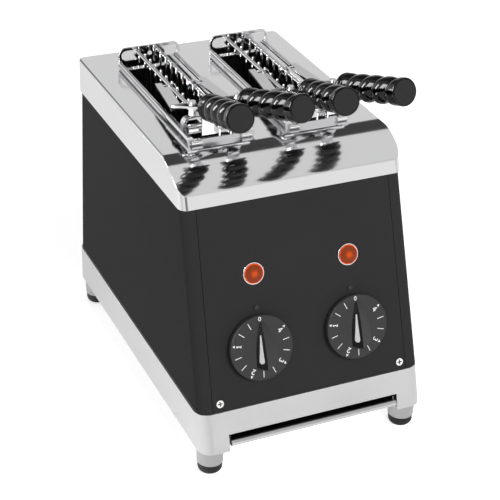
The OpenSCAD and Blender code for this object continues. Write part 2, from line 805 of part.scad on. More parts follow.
module knob(side) {
    face = dial_gap + dial_thick;
    chamfer = 0.6;
    color(black_plastic) on_panel(side * knob_x, knob_z) difference() {
        union() {
            translate([0, 0, dial_gap]) rotate_extrude($fn = 96)
                polygon([[0, 0], [knob_d / 2, 0], [knob_d / 2, dial_thick - chamfer],
                    [knob_d / 2 - chamfer, dial_thick], [0, dial_thick]]);
            translate([0, 0, face]) finger_grip();
        }
        translate([0, 0, dial_gap - cut])
            cylinder(d = shaft_d + 2 * running_clear, h = cut + dial_thick + shaft_into_grip + running_clear);
        translate([0, 0, face]) on_blade() translate([0, 0, -insert_depth])
            linear_extrude(grip_rise) insert_plan(running_clear);
    }
}

module knob_insert(side) {
    color(satin_steel) on_panel(side * knob_x, knob_z) translate([0, 0, dial_gap + dial_thick])
        on_blade() translate([0, 0, -insert_depth])
        linear_extrude(insert_depth - insert_sunk) insert_plan(0);
}

module lamp_bezels() {
    rim = 2;
    barrel_d = lamp_d - 6;
    barrel = 24;
    seat_d = lamp_d - 2;
    color(chrome) for (side = [-1, 1]) on_panel(side * lamp_x, lamp_z) difference() {
        union() {
            cylinder(d = lamp_d, h = rim);
            translate([0, 0, -barrel]) cylinder(d = barrel_d, h = barrel + rim / 2);
        }
        translate([0, 0, rim / 2]) cylinder(d = seat_d, h = rim);
    }
}

module lamp_lenses() {
    seat = 1;
    lens_d = lamp_d - 2 - 2 * running_clear;
    crown = 2;
    edge = 1.4;
    dome_r = (lens_d * lens_d / 4 + crown * crown) / (2 * crown);
    color(orange) for (side = [-1, 1]) on_panel(side * lamp_x, lamp_z) translate([0, 0, seat])
        intersection() {
            cylinder(d = lens_d, h = edge + crown);
            translate([0, 0, edge + crown - dome_r]) sphere(dome_r);
        }
}

module setting_marks() {
    rise = 1.2;
    color(black_paint) for (side = [-1, 1]) on_panel(side * lamp_x, mark_z) {
        cylinder(d = mark_d, h = rise);
        translate([0, 0, -casing_wall])
            cylinder(d = mark_d - 1 - 2 * running_clear, h = casing_wall + rise / 2);
    }
}

// Compression gland for a mains cord, on the rear panel
module cable_gland() {
    thread_d = 16;
    nut_d = 22;
    bore_d = 8.5;
    inside = 8;
    color(black_plastic) on_rear(gland_x, gland_z) difference() {
        union() {
            translate([0, 0, -casing_wall - inside]) cylinder(d = thread_d, h = casing_wall + inside + cut);
            cylinder(d = nut_d, h = 2);
            translate([0, 0, 2]) cylinder(d1 = nut_d - 3, d2 = nut_d - 7, h = 1.2);
            translate([0, 0, -casing_wall - 4]) cylinder(d = nut_d, h = 4, $fn = 6);
        }
        translate([0, 0, -casing_wall - inside - cut]) cylinder(d = bore_d, h = 3 * inside);
    }
}

module terminal_block() {
    ways = 3;
    way = 11;
    depth = 14;
    height = 20;
    screw_hole = 4;
    beside_gland = 44;
    color(ceramic)
        translate([gland_x - beside_gland, bulkhead_rear_y + bulkhead_wall, gland_z - height / 2])
        difference() {
            cube([ways * way, depth, height]);
            for (i = [0 : ways - 1], z = [height / 4, 3 * height / 4])
                translate([(i + 0.5) * way, depth / 2, z])
                rotate([-90, 0, 0]) cylinder(d = screw_hole, h = depth);
        }
}

// Places children at a tong's front bracket, on the cover, with the tongs' axis along +Y
module tong_place(slot) {
    translate([slot * tong_x, tong_y, cover_top]) children();
}

module tong_rails(slot) {
    color(chrome) tong_place(slot) for (side = [-1, 1])
        translate([side * rail_x, 0, rail_z]) rotate([-90, 0, 0])
        cylinder(d = rail_d, h = tong_length - bracket_wall / 2);
}

// Outline of a bracket from a low edge up: rounded shoulders and a guide window for each jaw rod
module bracket_plan(low) {
    shoulder = 8;
    difference() {
        translate([0, bracket_h]) mirror([0, 1])
            front_rounded(2 * bracket_half, bracket_h - low, shoulder);
        for (side = [-1, 1]) {
            translate([side * jaw_x, rod_z]) circle(window_r);
            translate([side * window_reach, rod_z]) circle(window_r);
            translate([side * (jaw_x + window_reach) / 2, rod_z])
                square([window_reach - jaw_x, 2 * window_r], center = true);
        }
    }
}

module tong_rear_bracket(slot) {
    eye_d = 4.4;
    color(chrome) tong_place(slot) translate([0, tong_length + bracket_wall / 2, 0])
        rotate([90, 0, 0]) linear_extrude(bracket_wall) difference() {
            bracket_plan(0);
            translate([0, rod_z]) circle(d = eye_d);
        }
}

module tong_front_bracket(slot) {
    nut_d = 4.2;
    nut_length = 10;
    side_y = rod_z + window_r;
    color(chrome) tong_place(slot) difference() {
        union() {
            translate([0, arch_y + bracket_wall / 2, 0]) rotate([90, 0, 0])
                linear_extrude(bracket_wall) bracket_plan(arch_low);
            translate([0, arch_y + strap_depth / 2, 0]) rotate([90, 0, 0])
                linear_extrude(strap_depth) intersection() {
                    bracket_plan(arch_low);
                    union() {
                        translate([-bracket_half, side_y - cut]) square([2 * bracket_half, bracket_h]);
                        for (side = [-1, 1])
                            translate([side * (bracket_half - loop_wall), rod_z])
                            square([2 * loop_wall, bracket_h], center = true);
                    }
                }
            translate([-bracket_half, bar_y, 0]) cube([2 * bracket_half, bar_wall, bar_height]);
            for (side = [0, 1]) mirror([side, 0, 0])
                translate([bracket_half - nut_length - loop_wall, bar_y - nut_d / 4, bar_height / 2])
                rotate([0, 90, 0]) cylinder(d = nut_d, h = nut_length);
            for (side = [-1, 1]) translate([side * rail_x, bar_y, rail_z])
                rotate([-90, 0, 0]) cylinder(d = sleeve_d, h = sleeve_length - bar_y);
        }
        for (side = [-1, 1]) {
            translate([side * rail_x, 0, rail_z])
                rotate([-90, 0, 0]) cylinder(d = rail_d + 2 * running_clear, h = tong_length);
            translate([side * pivot_x, arch_y, rod_z])
                cylinder(d = pivot_d + 2 * running_clear, h = bracket_h);
        }
    }
}

// Tube across the front that houses the tongs' inner works
module tong_barrel(slot) {
    half = rail_x + 0.5;
    bore_d = 6;
    color(chrome) tong_place(slot) translate([-half, barrel_y, barrel_z]) rotate([0, 90, 0]) difference() {
        cylinder(d = barrel_d, h = 2 * half);
        translate([0, 0, -cut]) cylinder(d = bore_d, h = 2 * (half + cut));
    }
}

module tong_pivot_pins(slot) {
    head_h = 2;
    color(chrome) tong_place(slot) for (side = [-1, 1]) translate([side * pivot_x, arch_y, 0]) {
        translate([0, 0, pin_low]) cylinder(d = pivot_d, h = boss_top + 0.2 - pin_low + head_h / 2);
        translate([0, 0, boss_top + 0.2]) cylinder(d = pivot_d + 2, h = head_h);
    }
}

// Points round one ring of the spring's wire
function spring_ring(i, rings, sides) =
    let (turn = 360 * i / rings, r = (spring_d - spring_wire) / 2,
        x = spring_wire / 2 + (spring_length - spring_wire) * i / (rings * spring_curls))
    [for (k = [0 : sides - 1])
        let (a = 360 * k / sides, q = r + spring_wire / 2 * cos(a))
        [x - spring_length / 2 + spring_wire / 2 * sin(a), q * cos(turn), q * sin(turn)]];

module tong_spring(slot) {
    rings = 8;
    sides = 6;
    last = rings * spring_curls;
    points = [for (i = [0 : last]) each spring_ring(i, rings, sides)];
    walls = [for (i = [0 : last - 1], k = [0 : sides - 1])
        let (a = i * sides + k, b = i * sides + (k + 1) % sides)
        each [[a, b, b + sides], [a, b + sides, a + sides]]];
    near_end = [for (k = [1 : sides - 2]) [0, k + 1, k]];
    far_end = [for (k = [1 : sides - 2]) [last * sides, last * sides + k, last * sides + k + 1]];
    centres = [for (i = [0 : last]) let (ring = spring_ring(i, rings, sides)) (ring[0] + ring[3]) / 2];
    gap = min([for (i = [0 : last - rings / 2], j = [i + rings / 2 : last])
        norm(centres[i] - centres[j])]) - spring_wire;
    echo(spring_gap = gap);
    color(chrome) tong_place(slot) translate([0, spring_y, barrel_z])
        polyhedron(points, concat(walls, near_end, far_end));
}

// Places children on a lever's handle axis at its collar, +Z out along the grip
module on_handle(side) {
    translate([side * collar_x, -collar_y, collar_z])
        rotate([90 - grip_tilt, 0, side * grip_spread]) children();
}

// Strip of one lever: clip, blade, step, riser, pivot boss, gusset with its spring tab, and tang
module left_lever_form() {
    reach = tongue_width - blade_width / 2;
    difference() {
        union() {
            translate([-fold_x, fold_y, blade_z]) rotate([0, 0, -blade_turn]) {
                translate([-blade_width / 2, 0, 0])
                    cube([blade_width, blade_length - tongue_over, blade_thick]);
                translate([-blade_width / 2, 0, 0])
                    cube([tongue_width, blade_length + tongue_over, blade_thick]);
            }
            translate([-fold_x - blade_width / 2, fold_y - blade_thick / 2, blade_z])
                cube([blade_width, blade_thick, step_rise + blade_thick]);
            translate([-fold_x, fold_y, riser_low])
                rotate([0, 0, riser_turn]) rotate([-riser_rise, 0, 0])
                translate([-blade_width / 2, collar_disc - riser_length, -blade_thick / 2])
                cube([blade_width, riser_length - collar_disc, blade_thick]);
            translate([-pivot_x, arch_y, boss_low]) cylinder(d = boss_d, h = boss_top - boss_low);
            translate([0, gusset_y, 0]) rotate([90, 0, 0]) linear_extrude(gusset_wall)
                polygon([[-gusset_x - gusset_half, gusset_top], [-gusset_x + gusset_half, gusset_top],
                    [-gusset_x + gusset_half, gusset_neck], [-tab_x, barrel_z + tab_size / 2],
                    [-tab_x, barrel_z - tab_size / 2], [-gusset_x, barrel_z - tab_size / 2],
                    [-gusset_x, gusset_neck], [-gusset_x - gusset_half, gusset_neck + gusset_half]]);
            translate([-tab_x - gusset_wall, spring_y - tab_size / 2, barrel_z - tab_size / 2])
                cube([gusset_wall, gusset_y - spring_y + tab_size / 2, tab_size]);
            on_handle(-1) translate([0, 0, -1.5 * collar_disc])
                cylinder(d = 2 * tang_d, h = 1.5 * collar_disc);
            on_handle(-1) cylinder(d = tang_d, h = tang_length);
        }
        translate([-pivot_x, arch_y, 0]) cylinder(d = pivot_d + 2 * running_clear, h = 2 * collar_z);
    }
    translate([-jaw_x, clip_y, rod_z]) rotate([90, 0, 0]) rotate_extrude()
        translate([clip_r, 0]) circle(d = clip_wire, $fn = 24);
    translate([-fold_x + blade_length * sin(blade_turn) + reach - cut, clip_y, blade_z + blade_thick / 2])
        rotate([0, 90, 0]) cylinder(d = clip_wire * 0.9, h = fold_x - jaw_x - clip_r * 0.72
            - blade_length * sin(blade_turn) - reach + cut, $fn = 24);
}

module tong_lever(slot, side) {
    color(chrome) tong_place(slot) {
        if (side < 0) left_lever_form();
        else mirror([1, 0, 0]) left_lever_form();
    }
}

module tong_grip(slot, side) {
    twist_length = handle_length - collar_length - cap_thick;
    twist_sides = 20;
    twist_steps = 40;
    core_d = handle_d - 2 * twist_offset;
    groove = 0.8;
    ring = collar_length / 3;
    color(black_plastic) tong_place(slot) on_handle(side) difference() {
        union() {
            cylinder(d = handle_d, h = ring);
            cylinder(d = handle_d - 2 * groove, h = collar_length + cut);
            translate([0, 0, collar_length - ring]) cylinder(d = handle_d, h = ring);
            translate([0, 0, collar_length]) linear_extrude(twist_length,
                twist = 360 * twist_length / twist_pitch, slices = twist_steps, $fn = twist_sides)
                translate([twist_offset, 0]) circle(d = core_d, $fn = twist_sides);
            translate([0, 0, handle_length - cap_thick]) cylinder(d = handle_d, h = cap_thick);
        }
        translate([0, 0, -cut]) cylinder(d = tang_d + 2 * running_clear, h = tang_length + 2 * cut);
    }
}

module tong_rod(slot, side) {
    over = 3;
    bush_front = strap_depth / 2 + bush_over;
    bush_rear = bracket_wall / 2 + bush_over;
    rod_front = arch_y - bush_front;
    color(chrome) tong_place(slot) translate([side * jaw_x, 0, rod_z]) rotate([-90, 0, 0]) {
        translate([0, 0, rod_front])
            cylinder(d = rod_d, h = tong_length + bush_rear + over - rod_front);
        translate([0, 0, rod_front]) cylinder(d = bush_d, h = 2 * bush_front);
        translate([0, 0, tong_length - bush_rear]) cylinder(d = bush_d, h = 2 * bush_rear);
    }
}

// Wire grid of one jaw: hooked uprights with an inward shelf, tied by two long wires
module left_jaw_form() {
    tie_x = -wire_x - wire_d + 0.4;
    tie_over = 4;
    for (i = [0 : wire_count - 1]) translate([-wire_x, wire_start + i * wire_pitch, 0]) {
        translate([0, 0, wire_low]) cylinder(d = wire_d, h = wire_top - wire_low, $fn = 24);
        translate([0, 0, wire_low]) rotate([0, 90, 0]) cylinder(d = wire_d, h = shelf_length, $fn = 24);
        translate([0, 0, wire_low]) sphere(d = wire_d, $fn = 24);
        translate([0, 0, wire_top]) sphere(d = wire_d, $fn = 24);
    }
    for (z = [wire_low + 2 * wire_d, wire_low / 2])
        translate([tie_x, wire_start - tie_over, z]) rotate([-90, 0, 0])
        cylinder(d = wire_d, h = (wire_count - 1) * wire_pitch + 2 * tie_over, $fn = 24);
}

module tong_jaw(slot, side) {
    color(chrome) tong_place(slot) {
        if (side < 0) left_jaw_form();
        else mirror([1, 0, 0]) left_jaw_form();
    }
}

base_frame();
tray_runners();
crumb_tray();
feet();
foot_pads();
foot_screws();
casing();
front_panel();
rear_panel();
top_cover();
panel_screws();
rear_screws();
front_bulkhead();
rear_bulkhead();
reflectors();
quartz_tubes();
element_caps();
slot_guards();
timer(-1);  // left_timer
timer(1);  // right_timer
shaft(-1);  // left_shaft
shaft(1);  // right_shaft
knob(-1);  // left_knob
knob(1);  // right_knob
knob_insert(-1);  // left_knob_insert
knob_insert(1);  // right_knob_insert
lamp_bezels();
lamp_lenses();
setting_marks();
cable_gland();
terminal_block();
tong_rails(-1);  // left_tong_rails
tong_rear_bracket(-1);  // left_tong_rear_bracket
tong_front_bracket(-1);  // left_tong_front_bracket
tong_barrel(-1);  // left_tong_barrel
tong_pivot_pins(-1);  // left_tong_pivot_pins
tong_spring(-1);  // left_tong_spring
tong_lever(-1, -1);  // left_tong_left_lever
tong_lever(-1, 1);  // left_tong_right_lever
tong_grip(-1, -1);  // left_tong_left_grip
tong_grip(-1, 1);  // left_tong_right_grip
tong_rod(-1, -1);  // left_tong_left_rod
tong_rod(-1, 1);  // left_tong_right_rod
tong_jaw(-1, -1);  // left_tong_left_jaw
tong_jaw(-1, 1);  // left_tong_right_jaw
tong_rails(1);  // right_tong_rails
tong_rear_bracket(1);  // right_tong_rear_bracket
tong_front_bracket(1);  // right_tong_front_bracket
tong_barrel(1);  // right_tong_barrel
tong_pivot_pins(1);  // right_tong_pivot_pins
tong_spring(1);  // right_tong_spring
tong_lever(1, -1);  // right_tong_left_lever
tong_lever(1, 1);  // right_tong_right_lever
tong_grip(1, -1);  // right_tong_left_grip
tong_grip(1, 1);  // right_tong_right_grip
tong_rod(1, -1);  // right_tong_left_rod
tong_rod(1, 1);  // right_tong_right_rod
tong_jaw(1, -1);  // right_tong_left_jaw
tong_jaw(1, 1);  // right_tong_right_jaw
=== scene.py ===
"""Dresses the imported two-slot sandwich toaster: finishes, twisted grips, printed dials, lenses, studio."""

from __future__ import annotations

import json
import logging
import math
from dataclasses import dataclass
from enum import Enum
from typing import Any

import bmesh
import bpy
import numpy as np
from mathutils import Matrix, Vector

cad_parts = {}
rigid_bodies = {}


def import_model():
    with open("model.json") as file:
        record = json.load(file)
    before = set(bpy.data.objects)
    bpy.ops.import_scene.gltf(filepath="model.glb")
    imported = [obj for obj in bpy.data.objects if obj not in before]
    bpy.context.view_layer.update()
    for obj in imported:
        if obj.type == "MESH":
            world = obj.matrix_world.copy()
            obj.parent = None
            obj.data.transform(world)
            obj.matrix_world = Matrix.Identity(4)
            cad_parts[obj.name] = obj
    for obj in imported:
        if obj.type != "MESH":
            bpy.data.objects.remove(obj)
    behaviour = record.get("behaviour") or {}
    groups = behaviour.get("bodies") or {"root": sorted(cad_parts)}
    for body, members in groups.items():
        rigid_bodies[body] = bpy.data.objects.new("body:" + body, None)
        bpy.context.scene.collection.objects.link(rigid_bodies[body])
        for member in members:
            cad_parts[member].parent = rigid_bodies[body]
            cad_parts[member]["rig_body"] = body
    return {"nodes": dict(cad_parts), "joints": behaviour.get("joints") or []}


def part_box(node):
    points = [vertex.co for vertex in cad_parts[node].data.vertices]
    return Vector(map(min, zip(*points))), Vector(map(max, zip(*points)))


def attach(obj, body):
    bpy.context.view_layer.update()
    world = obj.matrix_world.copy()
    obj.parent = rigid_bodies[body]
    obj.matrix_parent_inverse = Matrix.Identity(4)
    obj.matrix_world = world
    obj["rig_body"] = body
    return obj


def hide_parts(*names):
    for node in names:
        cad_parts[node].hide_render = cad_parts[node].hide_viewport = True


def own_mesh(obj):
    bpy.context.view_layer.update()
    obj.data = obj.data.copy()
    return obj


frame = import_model()

LOG = logging.getLogger("toaster")
MM = 0.001
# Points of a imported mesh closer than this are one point, and faces that turn by less than this are one face.
MERGE_M = 2e-6
FLAT_DEG = 0.4
# Angle past which an edge stays sharp, where a piece gives none.
SHARP_DEG = 35.0
# Distance of each tongs' middle from the middle of the cover.
TONG_X_MM = 47.5

Array = np.ndarray
Faces = list[list[int]]
Triple = tuple[float, float, float]
# Where a soft band starts, is full, fades and ends.
Band = tuple[float, float, float, float]
Material = bpy.types.Material
Mesh = bpy.types.Mesh
NodeTree = bpy.types.NodeTree
ShaderNode = bpy.types.Node
Socket = bpy.types.NodeSocket
Piece = bpy.types.Object


def linear(colour: str) -> tuple[float, float, float, float]:
    """Turns an sRGB hex colour into linear values.

    Args:
        colour: Six hex digits after a hash sign.

    Returns:
        Linear red, green, blue, and an alpha of one.
    """
    parts = [int(colour[i : i + 2], 16) / 255 for i in (1, 3, 5)]
    red, green, blue = (c / 12.92 if c <= 0.04045 else ((c + 0.055) / 1.055) ** 2.4 for c in parts)
    return red, green, blue, 1.0


def add_node(
    tree: NodeTree,
    kind: str,
    settings: dict[str, Any] | None = None,
    inputs: dict[str | int, Any] | None = None,
    links: dict[str | int, Socket] | None = None,
) -> ShaderNode:
    """Adds one node with its settings, input values and incoming links.

    Args:
        tree: Node tree that takes the node.
        kind: Blender's name of the node type.
        settings: Properties of the node.
        inputs: Values for input sockets, by name or number.
        links: Output sockets to link to input sockets, by name or number.

    Returns:
        The new node.
    """
    node = tree.nodes.new(kind)
    for key, value in (settings or {}).items():
        setattr(node, key, value)
    for key, value in (inputs or {}).items():
        node.inputs[key].default_value = value
    for key, socket in (links or {}).items():
        tree.links.new(socket, node.inputs[key])
    return node


class Run(Enum):
    """Direction that a brushed or drawn surface runs in, as noise stretch along X, Y and Z."""

    ALONG_X = (0.02, 1.0, 1.0)
    ALONG_Y = (1.0, 0.02, 1.0)
    ROUND_THE_BAND = (0.02, 0.02, 1.0)


@dataclass(frozen=True)
class Finish:
    """Surface of one material: a shader with even values, to which a kind of finish adds its detail."""

    name: str
    colour: str
    roughness: float
    metallic: float = 0.0
    ior: float = 1.5
    transmission: float = 0.0
    specular: float = 0.5
    edge_tint: str = "#ffffff"

    def material(self) -> Material:
        """Makes the material at its first use and gives the same one afterwards.

        Returns:
            The Blender material.
        """
        made = bpy.data.materials.get(self.name)
        if made is not None:
            return made
        made = bpy.data.materials.new(self.name)
        made.use_nodes = True
        shader = made.node_tree.nodes["Principled BSDF"]
        values = {
            "Base Color": linear(self.colour),
            "Roughness": self.roughness,
            "Metallic": self.metallic,
            "IOR": self.ior,
            "Transmission Weight": self.transmission,
            "Specular IOR Level": self.specular,
            "Specular Tint": linear(self.edge_tint),
        }
        for key, value in values.items():
            shader.inputs[key].default_value = value
        self.detail(made.node_tree, shader)
        return made

    def detail(self, tree: NodeTree, shader: ShaderNode) -> None:
        """Adds what the eye sees beyond one even colour; each kind of finish has its own.

        Args:
            tree: Node tree of the material.
            shader: Its Principled shader.
        """


@dataclass(frozen=True)
class DrawnMetal(Finish):
    """Metal with fine lines from brushing, polishing or drawing, and a faint uneven sheen."""

    line_mm: float = 1.2
    cloud_mm: float = 60.0
    run: Run = Run.ALONG_X
    spread: float = 0.06
    shade: float = 0.05
    depth_mm: float = 0.004
    line_share: float = 0.6
    sheen_range: tuple[float, float] = (0.5, 1.1)
    relief: float = 0.35

    def detail(self, tree: NodeTree, shader: ShaderNode) -> None:
        """Stretched noise gives the lines, large soft noise the uneven sheen.

        Args:
            tree: Node tree of the material.
            shader: Its Principled shader.
        """
        place = add_node(tree, "ShaderNodeTexCoord").outputs["Object"]
        stretch = add_node(tree, "ShaderNodeMapping", inputs={"Scale": self.run.value}, links={"Vector": place})
        lines = add_node(
            tree,
            "ShaderNodeTexNoise",
            inputs={"Scale": 1 / (self.line_mm * MM), "Detail": 3.0, "Roughness": 0.6},
            links={"Vector": stretch.outputs["Vector"]},
        ).outputs["Fac"]
        cloud = add_node(
            tree,
            "ShaderNodeTexNoise",
            inputs={"Scale": 1 / (self.cloud_mm * MM), "Detail": 2.0},
            links={"Vector": place},
        ).outputs["Fac"]
        both = add_node(
            tree,
            "ShaderNodeMath",
            settings={"operation": "MULTIPLY_ADD"},
            inputs={1: self.line_share},
            links={0: lines, 2: cloud},
        ).outputs[0]
        rough = add_node(
            tree,
            "ShaderNodeMapRange",
            inputs={
                "From Min": self.sheen_range[0],
                "From Max": self.sheen_range[1],
                "To Min": max(self.roughness - self.spread, 0.02),
                "To Max": self.roughness + self.spread,
            },
            links={"Value": both},
        ).outputs["Result"]
        pale = linear(self.colour)
        dark = tuple(c * (1 - self.shade) for c in pale[:3]) + (1.0,)
        tone = add_node(
            tree,
            "ShaderNodeMix",
            settings={"data_type": "RGBA"},
            inputs={6: dark, 7: pale},
            links={0: lines},
        ).outputs[2]
        bump = add_node(
            tree,
            "ShaderNodeBump",
            inputs={"Strength": self.relief, "Distance": self.depth_mm * MM},
            links={"Height": lines},
        ).outputs["Normal"]
        tree.links.new(rough, shader.inputs["Roughness"])
        tree.links.new(tone, shader.inputs["Base Color"])
        tree.links.new(bump, shader.inputs["Normal"])


@dataclass(frozen=True)
class GrainedCoat(Finish):
    """Paint, plastic or rubber with a fine grain and a slight change of tone over its face."""

    grain_mm: float = 0.9
    grain_depth_mm: float = 0.03
    cloud_mm: float = 45.0
    shade: float = 0.12
    spread: float = 0.05
    grain_range: tuple[float, float] = (0.3, 0.7)
    relief: float = 0.5

    def detail(self, tree: NodeTree, shader: ShaderNode) -> None:
        """Fine noise gives the grain's bump, large soft noise the change of tone and gloss.

        Args:
            tree: Node tree of the material.
            shader: Its Principled shader.
        """
        place = add_node(tree, "ShaderNodeTexCoord").outputs["Object"]
        grain = add_node(
            tree,
            "ShaderNodeTexNoise",
            inputs={"Scale": 1 / (self.grain_mm * MM), "Detail": 2.0},
            links={"Vector": place},
        ).outputs["Fac"]
        cloud = add_node(
            tree,
            "ShaderNodeTexNoise",
            inputs={"Scale": 1 / (self.cloud_mm * MM), "Detail": 3.0},
            links={"Vector": place},
        ).outputs["Fac"]
        pale = linear(self.colour)
        dark = tuple(c * (1 - self.shade) for c in pale[:3]) + (1.0,)
        tone = add_node(
            tree,
            "ShaderNodeMix",
            settings={"data_type": "RGBA"},
            inputs={6: dark, 7: pale},
            links={0: cloud},
        ).outputs[2]
        rough = add_node(
            tree,
            "ShaderNodeMapRange",
            inputs={
                "From Min": self.grain_range[0],
                "From Max": self.grain_range[1],
                "To Min": max(self.roughness - self.spread, 0.02),
                "To Max": min(self.roughness + self.spread, 1.0),
            },
            links={"Value": grain},
        ).outputs["Result"]
        bump = add_node(
            tree,
            "ShaderNodeBump",
            inputs={"Strength": self.relief, "Distance": self.grain_depth_mm * MM},
            links={"Height": grain},
        ).outputs["Normal"]
        tree.links.new(tone, shader.inputs["Base Color"])
        tree.links.new(rough, shader.inputs["Roughness"])
        tree.links.new(bump, shader.inputs["Normal"])


@dataclass(frozen=True)
class RibbedLens(Finish):
    """Cast acrylic over a reflector: its colour follows the distance from the middle, given as an attribute, with a
    painted glow at the rim and painted shade in the ring.
    """

    # Painted glow of the clear rim, painted shade of the ring over the reflector, and the middle's orange.
    rim: str = "#ff5512"
    ring: str = "#80361c"
    middle: str = "#c24a18"
    blotch_mm: float = 2.2
    blotch_share: float = 0.2
    radial_share: float = 0.85
    stops: Band = (0.23, 0.5, 0.87, 0.93)

    def detail(self, tree: NodeTree, shader: ShaderNode) -> None:
        """A ramp over the radius gives the rim's painted glow, the ring's painted shade and the warm middle; noise
        blotches it.

        Args:
            tree: Node tree of the material.
            shader: Its Principled shader.
        """
        radial = add_node(tree, "ShaderNodeAttribute", settings={"attribute_name": "radial"}).outputs["Fac"]
        place = add_node(tree, "ShaderNodeTexCoord").outputs["Object"]
        blotch = add_node(
            tree,
            "ShaderNodeTexNoise",
            inputs={"Scale": 1 / (self.blotch_mm * MM), "Detail": 2.0},
            links={"Vector": place},
        ).outputs["Fac"]
        blotch = add_node(
            tree,
            "ShaderNodeMath",
            settings={"operation": "MULTIPLY"},
            inputs={1: self.blotch_share},
            links={0: blotch},
        ).outputs[0]
        moved = add_node(
            tree,
            "ShaderNodeMath",
            settings={"operation": "MULTIPLY_ADD"},
            inputs={1: self.radial_share},
            links={0: radial, 2: blotch},
        ).outputs[0]
        ramp = add_node(tree, "ShaderNodeValToRGB", links={"Fac": moved})
        colours = ramp.color_ramp.elements
        colours[0].position, colours[0].color = self.stops[0], linear(self.middle)
        colours[1].position, colours[1].color = self.stops[3], linear(self.rim)
        for spot in self.stops[1:3]:
            colours.new(spot).color = linear(self.ring)
        tree.links.new(ramp.outputs["Color"], shader.inputs["Base Color"])


# Polished stainless sheet: mirror-like with faint lines from the polishing belt, drawn wider than real to show.
POLISHED_STEEL = DrawnMetal(
    "polished stainless sheet", "#e2e2e3", 0.1, 1.0, line_mm=1.0, run=Run.ALONG_Y, spread=0.03, shade=0.04
)
# Satin stainless sheet: an even silky grey with lines along the band, drawn wider than real to show.
SATIN_STEEL = DrawnMetal(
    "satin stainless sheet", "#cbcbcb", 0.34, 1.0, line_mm=1.1, run=Run.ROUND_THE_BAND, spread=0.05, shade=0.07
)
# Chromium plate on steel wire and strip: sharp, slightly uneven reflections, which darken towards an outline.
CHROME = DrawnMetal(
    "chromium plate", "#f4f4f5", 0.09, 1.0, edge_tint="#484848", line_mm=2.0, run=Run.ALONG_Y, spread=0.04, shade=0.03
)
# Turned aluminium feet: soft grey with rings from the tool.
TURNED_ALUMINIUM = DrawnMetal(
    "turned aluminium", "#adadae", 0.38, 1.0, line_mm=0.9, run=Run.ROUND_THE_BAND, spread=0.06, shade=0.1
)
# Brushed aluminium inlay in the knobs: a dull silver with lines across it.
BRUSHED_ALUMINIUM = DrawnMetal(
    "brushed aluminium", "#b9b9ba", 0.36, 1.0, line_mm=0.8, run=Run.ALONG_X, spread=0.08, shade=0.12
)
# Zinc plate inside the chamber, darkened as painted shade of the deep slots: dull, with brownish grey clouds.
SHADED_ZINC = DrawnMetal(
    "zinc plate darkened as painted shade", "#4a4846", 0.5, 1.0, line_mm=3.0, cloud_mm=30.0, spread=0.1, shade=0.3
)
# Zinc plate on screws and small steel pieces: a bluish grey, half dull.
ZINC_PLATE = DrawnMetal("zinc plate", "#b4b6b8", 0.3, 1.0, line_mm=1.5, spread=0.08, shade=0.1)
# Nickel-plated screw heads in the front panel: bright, with painted shade in the cross, black where its depth shades
# it.
NICKEL_PLATE = DrawnMetal("nickel plate", "#e4e4e2", 0.2, 1.0, line_mm=1.5, spread=0.05, shade=0.06)
# Charcoal stove paint, sprayed: matt with a fine orange-peel grain, drawn coarser than real to show.
STOVE_PAINT = GrainedCoat(
    "charcoal stove paint", "#2e2e2e", 0.66, specular=0.05, grain_mm=1.1, grain_depth_mm=0.03, shade=0.1
)
# Phenolic of the dials, moulded with a fine spark grain: a soft charcoal without highlights.
MOULDED_BLACK = GrainedCoat(
    "moulded black phenolic", "#323232", 0.5, specular=0.3, grain_mm=0.8, grain_depth_mm=0.02, shade=0.1
)
# Black that stands in for shade, as painted shade: on the knob blade's left face round the inlay, on the front panel's
# seam edges and in the screws' crosses.
PAINTED_SHADE_BLACK = GrainedCoat("painted shade black", "#060606", 0.6, specular=0.12, grain_mm=0.8, grain_depth_mm=0.01)
# Phenolic of the grips, moulded glossy: deep black with sharp highlights.
GLOSS_BLACK = GrainedCoat(
    "gloss black phenolic", "#050505", 0.13, specular=0.3, grain_mm=2.5, grain_depth_mm=0.002, shade=0.1, spread=0.03
)
# End face of a grip: the same phenolic, left matt by the mould.
MATT_END = GrainedCoat("matt black phenolic", "#242424", 0.6, specular=0.25, grain_mm=0.7, shade=0.08)
# Rubber tips of the feet: deep black and dull.
RUBBER = GrainedCoat("black rubber", "#0d0d0d", 0.72, grain_mm=1.2, grain_depth_mm=0.04, shade=0.2)
# White printing ink on the dials: flat and even, slightly warm.
PRINT_WHITE = GrainedCoat("white printing ink", "#e9e9e6", 0.55, grain_mm=0.5, grain_depth_mm=0.005, shade=0.06)
# Orange acrylic of the lenses, cast with rings: glossy, with a painted glow at its clear rim and painted shade over
# the lamp's reflector.
ORANGE_ACRYLIC = RibbedLens("ribbed orange acrylic", "#d9683c", 0.3, specular=0.1)
# Steatite caps and terminal block: unglazed, chalky off-white.
STEATITE = GrainedCoat("unglazed steatite", "#e9e2d3", 0.7, grain_mm=1.0, grain_depth_mm=0.03, shade=0.1)
# Quartz glass of the heating tubes: milky, slightly see-through.
QUARTZ = GrainedCoat("milky quartz glass", "#d9d9d6", 0.25, transmission=0.3, grain_mm=3.0, grain_depth_mm=0.01)


def grid_faces(rows: int, columns: int, wrap: bool) -> Array:
    """Quads between the rows of a grid of points.

    Args:
        rows: Number of rows of points.
        columns: Number of points in a row.
        wrap: Whether the last column joins the first.

    Returns:
        Four point numbers a face, turned outwards where rows run along the axis and columns anticlockwise.
    """
    first = np.arange(rows - 1)[:, None] * columns
    here = np.arange(columns if wrap else columns - 1)[None, :]
    after = (here + 1) % columns
    quads = np.stack([first + here, first + after, first + columns + after, first + columns + here], axis=-1)
    return quads.reshape(-1, 4)


